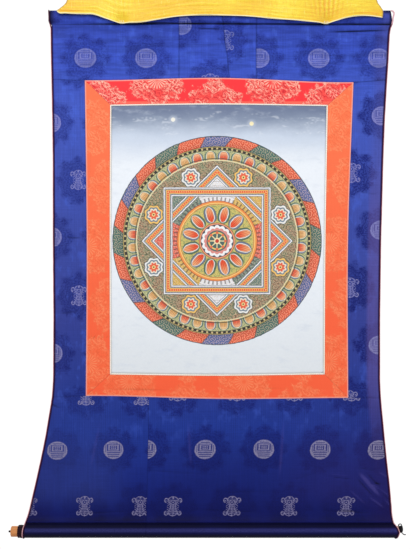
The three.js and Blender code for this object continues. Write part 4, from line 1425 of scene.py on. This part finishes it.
def blue_panels():
    """Four widths at the top, two at the foot and a strip on each side."""
    joins = [body_left, top_join_left, top_join_middle, top_join_right, body_right]
    names = ["top_panel_left", "top_panel_mid_left", "top_panel_mid_right", "top_panel_right"]
    for index, name in enumerate(names):
        outline = Outline(*joins[index : index + 2], top_seam, lambda x: HEAD_FADE[0], TOP_MIDDLE)
        seams = [side for side, there in (("left", index > 0), ("right", index < 3)) if there]
        cased_panel(name, outline, HEAD_PATH, seams, False)
    for name, left, right, join in (
        ("bottom_panel_left", body_left, low_join, "right"),
        ("bottom_panel_right", low_join, body_right, "left"),
    ):
        outline = Outline(left, right, lambda x: FOOT_FADE[0], low_seam, FOOT_MIDDLE)
        cased_panel(name, outline, FOOT_PATH, [join], True)
    for name, left, right, join, outer in (
        ("side_panel_left", body_left, border_left, "right", "left"),
        ("side_panel_right", border_right, body_right, "left", "right"),
    ):
        outline = Outline(left, right, low_seam, top_seam, MIDDLE)
        flat_cloth(name, "blue_brocade", outline, ["foot", "top", join], outer)


def mitre(outer, inner):
    """A line from an outer corner to the painting's: its height at an x and its x at a height."""
    slope = (inner[1] - outer[1]) / (inner[0] - outer[0])
    return (
        lambda x: outer[1] + (x - outer[0]) * slope,
        lambda z: outer[0] + (z - outer[1]) / slope,
    )


TOP_LEFT = mitre(TOP_SEAM[1], PAINTING_TOP[0])
TOP_RIGHT = mitre(TOP_SEAM[3], PAINTING_TOP[-1])
LOW_LEFT = mitre(LOW_SEAM[1], PAINTING_FOOT[0])
LOW_RIGHT = mitre(LOW_SEAM[3], PAINTING_FOOT[-1])


def painting_outline(out):
    """The painting's edges, moved outwards."""
    return Outline(
        lambda z: painting_left(z) - out, lambda z: painting_right(z) + out,
        lambda x: painting_foot(x) - out, lambda x: painting_top(x) + out, MIDDLE,
    )


def border():
    """Four mitred strips round the painting."""
    inner = painting_outline(PIPING_WIDTH / 2 - PIPING_OVER)
    strips = {
        "top": (TOP_LEFT[1], TOP_RIGHT[1], inner.top, top_seam, BORDER_TOP_MIDDLE),
        "bottom": (LOW_LEFT[1], LOW_RIGHT[1], low_seam, inner.foot, BORDER_FOOT_MIDDLE),
        "left": (border_left, inner.left, LOW_LEFT[0], TOP_LEFT[0], MIDDLE),
        "right": (inner.right, border_right, LOW_RIGHT[0], TOP_RIGHT[0], MIDDLE),
    }
    for side, edges in strips.items():
        finish = "red_brocade" if side == "top" else "orange_brocade"
        outer = "foot" if side == "bottom" else side
        seams = ["left", "right", "foot", "top"]
        flat_cloth(f"border_{side}", finish, Outline(*edges), seams, outer, WIDE_CELL)


def painting():
    outline = painting_outline(-PIPING_WIDTH / 2 + PIPING_OVER)
    flat_cloth(
        "painting", "painted_cotton", outline, [], cell=WIDE_CELL, thick=BACKING, back="bare_cotton",
    )


def tube(bm, path, radii, sides=12):
    """Adds a closed cord to a bmesh: a circle drawn along a path. radii is its radius, or gives
    it at a length along the cord."""
    points = [Vector(point) for point in path]
    last = len(points) - 1
    outward = bm.verts.layers.float["side"]
    pattern = bm.loops.layers.uv.verify()
    lengths = [0]
    for before, after in zip(points, points[1:]):
        lengths.append(lengths[-1] + (after - before).length)
    tangents = [
        (points[min(row + 1, last)] - points[max(row - 1, 0)]).normalized()
        for row in range(len(points))
    ]
    side = tangents[0].orthogonal().normalized()
    frames = []
    for tangent in tangents:
        side = (side - tangent * side.dot(tangent)).normalized()
        frames.append((side, tangent.cross(side)))
    spots = {}
    for vert, step, row in new_grid(bm, sides, last):
        radius = radii(lengths[row], lengths[-1]) if callable(radii) else radii
        turn = math.tau * step / sides
        first, second = frames[row]
        away = first * math.cos(turn) + second * math.sin(turn)
        vert.co = points[row] + away * radius
        vert[outward] = away.x
        spots[vert] = (step / sides, lengths[row])
    faces = {face for vert in spots for face in vert.link_faces}
    lay_map(faces, pattern, spots)
    bmesh.ops.remove_doubles(bm, verts=list(spots), dist=SAME_PLACE)
    faces = [face for face in faces if face.is_valid]
    loose = {edge for face in faces for edge in face.edges if edge.is_boundary}
    caps = bmesh.ops.holes_fill(bm, edges=list(loose), sides=0)["faces"]
    bmesh.ops.recalc_face_normals(bm, faces=[*faces, *caps])


def new_cords():
    """A bmesh for cords: its map has the cloths' name, and side is how far a point faces +X."""
    bm = bmesh.new()
    bm.verts.layers.float.new("side")
    bm.loops.layers.uv.new("weave")
    return bm


def round_ends(radius, reach):
    """A radius that closes softly over a cord's two ends."""

    def radii(at, length):
        share = min(min(at, length - at) / reach, 1)
        return radius * max(0.25, math.sqrt(1 - (1 - share) ** 2))

    return radii


def edge_piping(name, edge, tail):
    """Red piping down one side, round the end of the roller's casing and over the top one's."""
    casing = arc(FOOT_CENTRE_Z, FOOT_RADIUS + CORD_PROUD, FOOT_OPENING, 360 - FOOT_OPENING, 36)
    path = [(edge(z), y, z) for y, z in [*casing[3:], *CORD_FOOT]]
    for row in range(CORD_ROWS + 1):
        z = lerp(FOOT_FADE[0], HEAD_FADE[0], row / CORD_ROWS)
        path.append((edge(z), -stand(edge(z), z), z))
    path += [(edge(z), y, z) for y, z in CORD_HEAD]
    bm = new_cords()
    tube(bm, path + tail, round_ends(CORD / 2, 2.5))
    finished(f"{name}_cord", bm, "red_piping", name)


def side_pipings():
    edge_piping("edge_piping_left", lambda z: left_side(z) + CORD / 2, CORD_END_LEFT)
    edge_piping("edge_piping_right", lambda z: right_side(z) - CORD / 2, CORD_END_RIGHT)


def picture_pipings():
    """Four cream strips, mitred at the painting's corners."""
    strips = {
        "top": (TOP_LEFT[1], TOP_RIGHT[1], painting_top, CORNERS_X),
        "bottom": (LOW_LEFT[1], LOW_RIGHT[1], painting_foot, CORNERS_X),
        "left": (LOW_LEFT[0], TOP_LEFT[0], painting_left, CORNERS_Z),
        "right": (LOW_RIGHT[0], TOP_RIGHT[0], painting_right, CORNERS_Z),
    }
    for side, (start, end, line, corners) in strips.items():
        from_at = start(line(corners[0]))
        to_at = end(line(corners[1]))
        count = round(abs(to_at - from_at) / PIPING_STEP)
        path = []
        for step in range(count + 1):
            at = lerp(from_at, to_at, step / count)
            x, z = (at, line(at)) if corners == CORNERS_X else (line(at), at)
            path.append((x, -stand(x, z) - PIPING_PROUD, z))
        bm = new_cords()
        tube(bm, path, PIPING_WIDTH / 2, sides=10)
        name = f"picture_piping_{side}"
        finished(f"{name}_cord", bm, "cream_piping", name)


def turned(profile, steps=64):
    """A piece turned about its own length: profile is rows of x and radius at the roller."""
    bm = bmesh.new()
    verts = [bm.verts.new((x, radius, 0)) for x, radius in profile]
    edges = [bm.edges.new(pair) for pair in zip(verts, verts[1:])]
    bmesh.ops.spin(
        bm, geom=verts + edges, cent=(0, 0, 0), axis=(1, 0, 0), angle=math.tau,
        steps=steps, use_merge=True,
    )
    bmesh.ops.remove_doubles(bm, verts=bm.verts, dist=SAME_PLACE)
    bmesh.ops.recalc_face_normals(bm, faces=bm.faces)
    bmesh.ops.translate(bm, vec=(0, 0, ROLLER_Z), verts=bm.verts)
    return bm


def roller():
    """A bar with softened ends, not quite even along its length."""
    left, right = ROLLER_ENDS
    radius = ROLLER_RADIUS
    profile = [(left, 0), (left, radius - 1.2), (left + 0.3, radius - 0.5), (left + 1.1, radius)]
    for stop in range(1, ROLLER_STOPS):
        x = lerp(left, right, stop / ROLLER_STOPS)
        profile.append((x, radius + 0.06 * noise.noise(Vector((x / 37, 0.4, 0)))))
    profile += [(right - 1.1, radius), (right - 0.3, radius - 0.5), (right, radius - 1.2), (right, 0)]
    finished("roller_wood", turned(profile), "wood", "roller")


def nail():
    """A nail with a round head, driven into the roller's left end."""
    wood_end = ROLLER_ENDS[0]
    middle = wood_end - NAIL_CENTRE
    angles = [math.radians(lerp(0, NAIL_NECK, step / 9)) for step in range(10)]
    profile = [(middle - NAIL_RADIUS * math.cos(a), NAIL_RADIUS * math.sin(a)) for a in angles]
    profile += [(wood_end + 0.1, NAIL_SHANK), (wood_end + 0.1, 0)]
    finished("nail_head", turned(profile, 24), "nail_iron", "roller_nail")


def cuff():
    """The dark cloth that shows round the roller beside the left edge, a little creased."""
    left, right = CUFF
    inside = ROLLER_RADIUS + 0.15
    outside = CUFF_RADIUS
    profile = [(left, inside), (left - 0.1, outside - 0.9), (left + 0.5, outside - 0.1)]
    profile += [(lerp(left, right, step / 8), outside) for step in range(1, 8)]
    profile += [(right, outside), (right, inside), (lerp(left, right, 0.5), inside), (left, inside)]
    bm = turned(profile, 72)
    for vert in bm.verts:
        turn = math.atan2(vert.co.y, vert.co.z - ROLLER_Z)
        away = math.hypot(vert.co.y, vert.co.z - ROLLER_Z)
        if away > inside + 0.4:
            wave = 0.35 * math.sin(5 * turn + vert.co.x * 0.5) + 0.2 * math.sin(11 * turn)
            vert.co.y *= 1 + wave / away
            vert.co.z = ROLLER_Z + (vert.co.z - ROLLER_Z) * (1 + wave / away)
    finished("cuff_cloth", bm, "dark_lining", "roller_cuff")


def smooth_route(points, count):
    """A route in space drawn smooth through its points."""
    routes = [through(list(enumerate(axis))) for axis in zip(*points)]
    last = len(points) - 1
    return [Vector([read(last * step / count) for read in routes]) for step in range(count + 1)]


def end_tie():
    """Thread wound into a knot at the roller's right end, with its loop and its loose end."""
    bm = new_cords()
    centre = Vector(TIE)
    wide, deep, high = TIE_HALF
    steps = TIE_TURNS * 16
    coil = []
    for step in range(steps + 1):
        share = step / steps
        angle = math.tau * TIE_TURNS * share
        swell = 0.72 + 0.28 * math.sin(math.pi * share)
        z = lerp(-high, high, share)
        spot = (wide * swell * math.cos(angle), deep * swell * math.sin(angle), z)
        coil.append(centre + Vector(spot))
    tube(bm, coil, THREAD * 0.6, sides=8)
    core = [centre + Vector((0, 0, high * share)) for share in (-1, -0.4, 0.4, 1)]
    tube(bm, core, wide * 0.75, sides=10)
    for route in (TIE_TAIL, TIE_LOOP):
        points = smooth_route([centre + Vector(point) for point in route], 24)
        tube(bm, points, round_ends(THREAD / 2, 1.2), sides=8)
    finished("end_knot", bm, "black_thread", "end_tie")


veil_edge = through(VEIL_EDGE)
veil_left = straight(column(VEIL_SIDES, 1))
veil_right = straight(column(VEIL_SIDES, 2))


def veil_folds(x, z, above):
    """The height of the veil's folds, and how near it is drawn to the casing at its stitches."""
    fold = 1.8 * noise.noise(Vector((x / 90, z / 60, 4.2)))
    touch = 0
    for stitch_x, stitch_z, height in VEIL_STITCHES:
        dx = x - stitch_x
        dz = z - stitch_z
        lean = dx / (1 + max(dz, 0) / 160)
        pleats = math.cos(math.tau * lean / PLEAT_PITCH) * math.exp(-((dx / PLEAT_REACH) ** 2))
        fold += height * pleats * smoothstep(dz, 2, 16)
        touch = max(touch, math.exp(-((math.hypot(dx, dz) / VEIL_STITCH_REACH) ** 2)))
    waver = 3 * noise.noise(Vector((x / 60, above / 9, 0)))
    spread = (above + waver) / (1 + above / 70)
    swag = math.sin(math.tau * spread / SWAG_PITCH) * math.exp(-above / SWAG_REACH)
    patch = smoothstep(noise.noise(Vector((x / 46, above / 16, 8))), -0.35, 0.3)
    return fold + SWAG_FOLD * swag * patch, touch


def veil():
    """Thin silk that hangs in front of the top casing and is drawn to it at two stitches."""
    across = marks(VEIL_SPAN[0], VEIL_CELL[0])
    rows = marks(VEIL_SPAN[1], VEIL_CELL[1], True, False)

    def point(share, row):
        edge = veil_edge(lerp(VEIL_EDGE[0][0], VEIL_EDGE[-1][0], share))
        z = lerp(edge, VEIL_TOP_Z, rows[row] ** 1.3)
        x = lerp(veil_left(z), veil_right(z), share)
        above = z - edge
        to_side = min(x - veil_left(z), veil_right(z) - x)
        fold, touch = veil_folds(x, z, above)
        depth = lerp(VEIL_STAND + VEIL_FOLD + fold, VEIL_TOUCH, touch)
        return x, -depth, z, above, to_side, fold

    weave = lambda x, z, row: (x / PITCH_ACROSS, z / PITCH_DOWN)
    woven("veil", "yellow_silk", across, len(rows), point, weave, VEIL_FLAT, VEIL_CLOTH)


def veil_stitches():
    """White thread that holds the veil to the casing, a few short stitches at each place."""
    bm = new_cords()
    front = -VEIL_TOUCH - 1.2
    for x, z, _ in VEIL_STITCHES:
        for step, lean in ((-3.4, -0.5), (-0.6, 0.3), (2.6, 0.6)):
            path = [
                (x + step, front + 1.6, z + 3.2), (x + step + lean * 0.5, front - 0.3, z + 1.8),
                (x + step + lean, front - 0.5, z), (x + step + lean, front + 0.1, z - 2.2),
                (x + step + lean, front + 1.4, z - 3.4),
            ]
            tube(bm, smooth_route(path, 12), 0.55, sides=6)
    finished("veil_stitches", bm, "white_thread")


def camera():
    """The photograph's view."""
    scene = bpy.context.scene
    lens = bpy.data.cameras.new("camera")
    lens.sensor_width = SENSOR
    lens.lens = SENSOR * FOCAL_PIXELS / PHOTO_PIXELS
    view = bpy.data.objects.new("camera", lens)
    view.location = Vector(CAMERA_PLACE) * MM
    view.rotation_euler = (math.radians(90 - CAMERA_TILT), 0, 0)
    scene.collection.objects.link(view)
    scene.camera = view
    scene.view_settings.view_transform = "Standard"


def lamps():
    """Soft light from the upper left, a weaker one from the right and one behind."""
    for name, (place, target, size, power) in LAMPS.items():
        lamp = bpy.data.lights.new(name, "AREA")
        lamp.shape = "DISK"
        lamp.size = size * MM
        lamp.energy = power
        light = bpy.data.objects.new(name, lamp)
        light.location = Vector(place) * MM
        towards = (Vector(target) - Vector(place)).to_track_quat("-Z", "Y")
        light.rotation_euler = towards.to_euler()
        bpy.context.scene.collection.objects.link(light)


def studio():
    """White behind the object, and an even, slightly blue light on it."""
    world = bpy.data.worlds.new("studio")
    world.use_nodes = True
    bpy.context.scene.world = world
    air = Nodes(world.node_tree)
    seen_by_camera = air.node("ShaderNodeLightPath", {}, output="Is Camera Ray")
    seen = air.node("ShaderNodeBackground", {"Color": (1, 1, 1, 1), "Strength": 1.05})
    given = air.node("ShaderNodeBackground", {"Color": (0.94, 0.97, 1, 1), "Strength": 0.45})
    mixed = air.node("ShaderNodeMixShader", {0: seen_by_camera, 1: given, 2: seen})
    air.node("ShaderNodeOutputWorld", {"Surface": mixed})


def floor():
    bm = bmesh.new()
    bmesh.ops.create_grid(bm, x_segments=4, y_segments=4, size=FLOOR_HALF * MM)
    bmesh.ops.translate(bm, vec=(0, 0, FLOOR_Z * MM), verts=bm.verts)
    mesh = bpy.data.meshes.new("floor")
    bm.to_mesh(mesh)
    bm.free()
    piece = bpy.data.objects.new("floor", mesh)
    pale = Finish("pale_floor", 0.8, Base_Color=(0.82, 0.82, 0.82, 1))
    mesh.materials.append(pale.material)
    bpy.context.scene.collection.objects.link(piece)


def batten():
    """The CAD model's own bar, in the scene's wood."""
    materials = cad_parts["top_batten"].data.materials
    materials.clear()
    materials.append(FINISHES["wood"])


camera()
lamps()
studio()
floor()
blue_panels()
border()
painting()
picture_pipings()
side_pipings()
roller()
nail()
cuff()
end_tie()
veil()
veil_stitches()
batten()
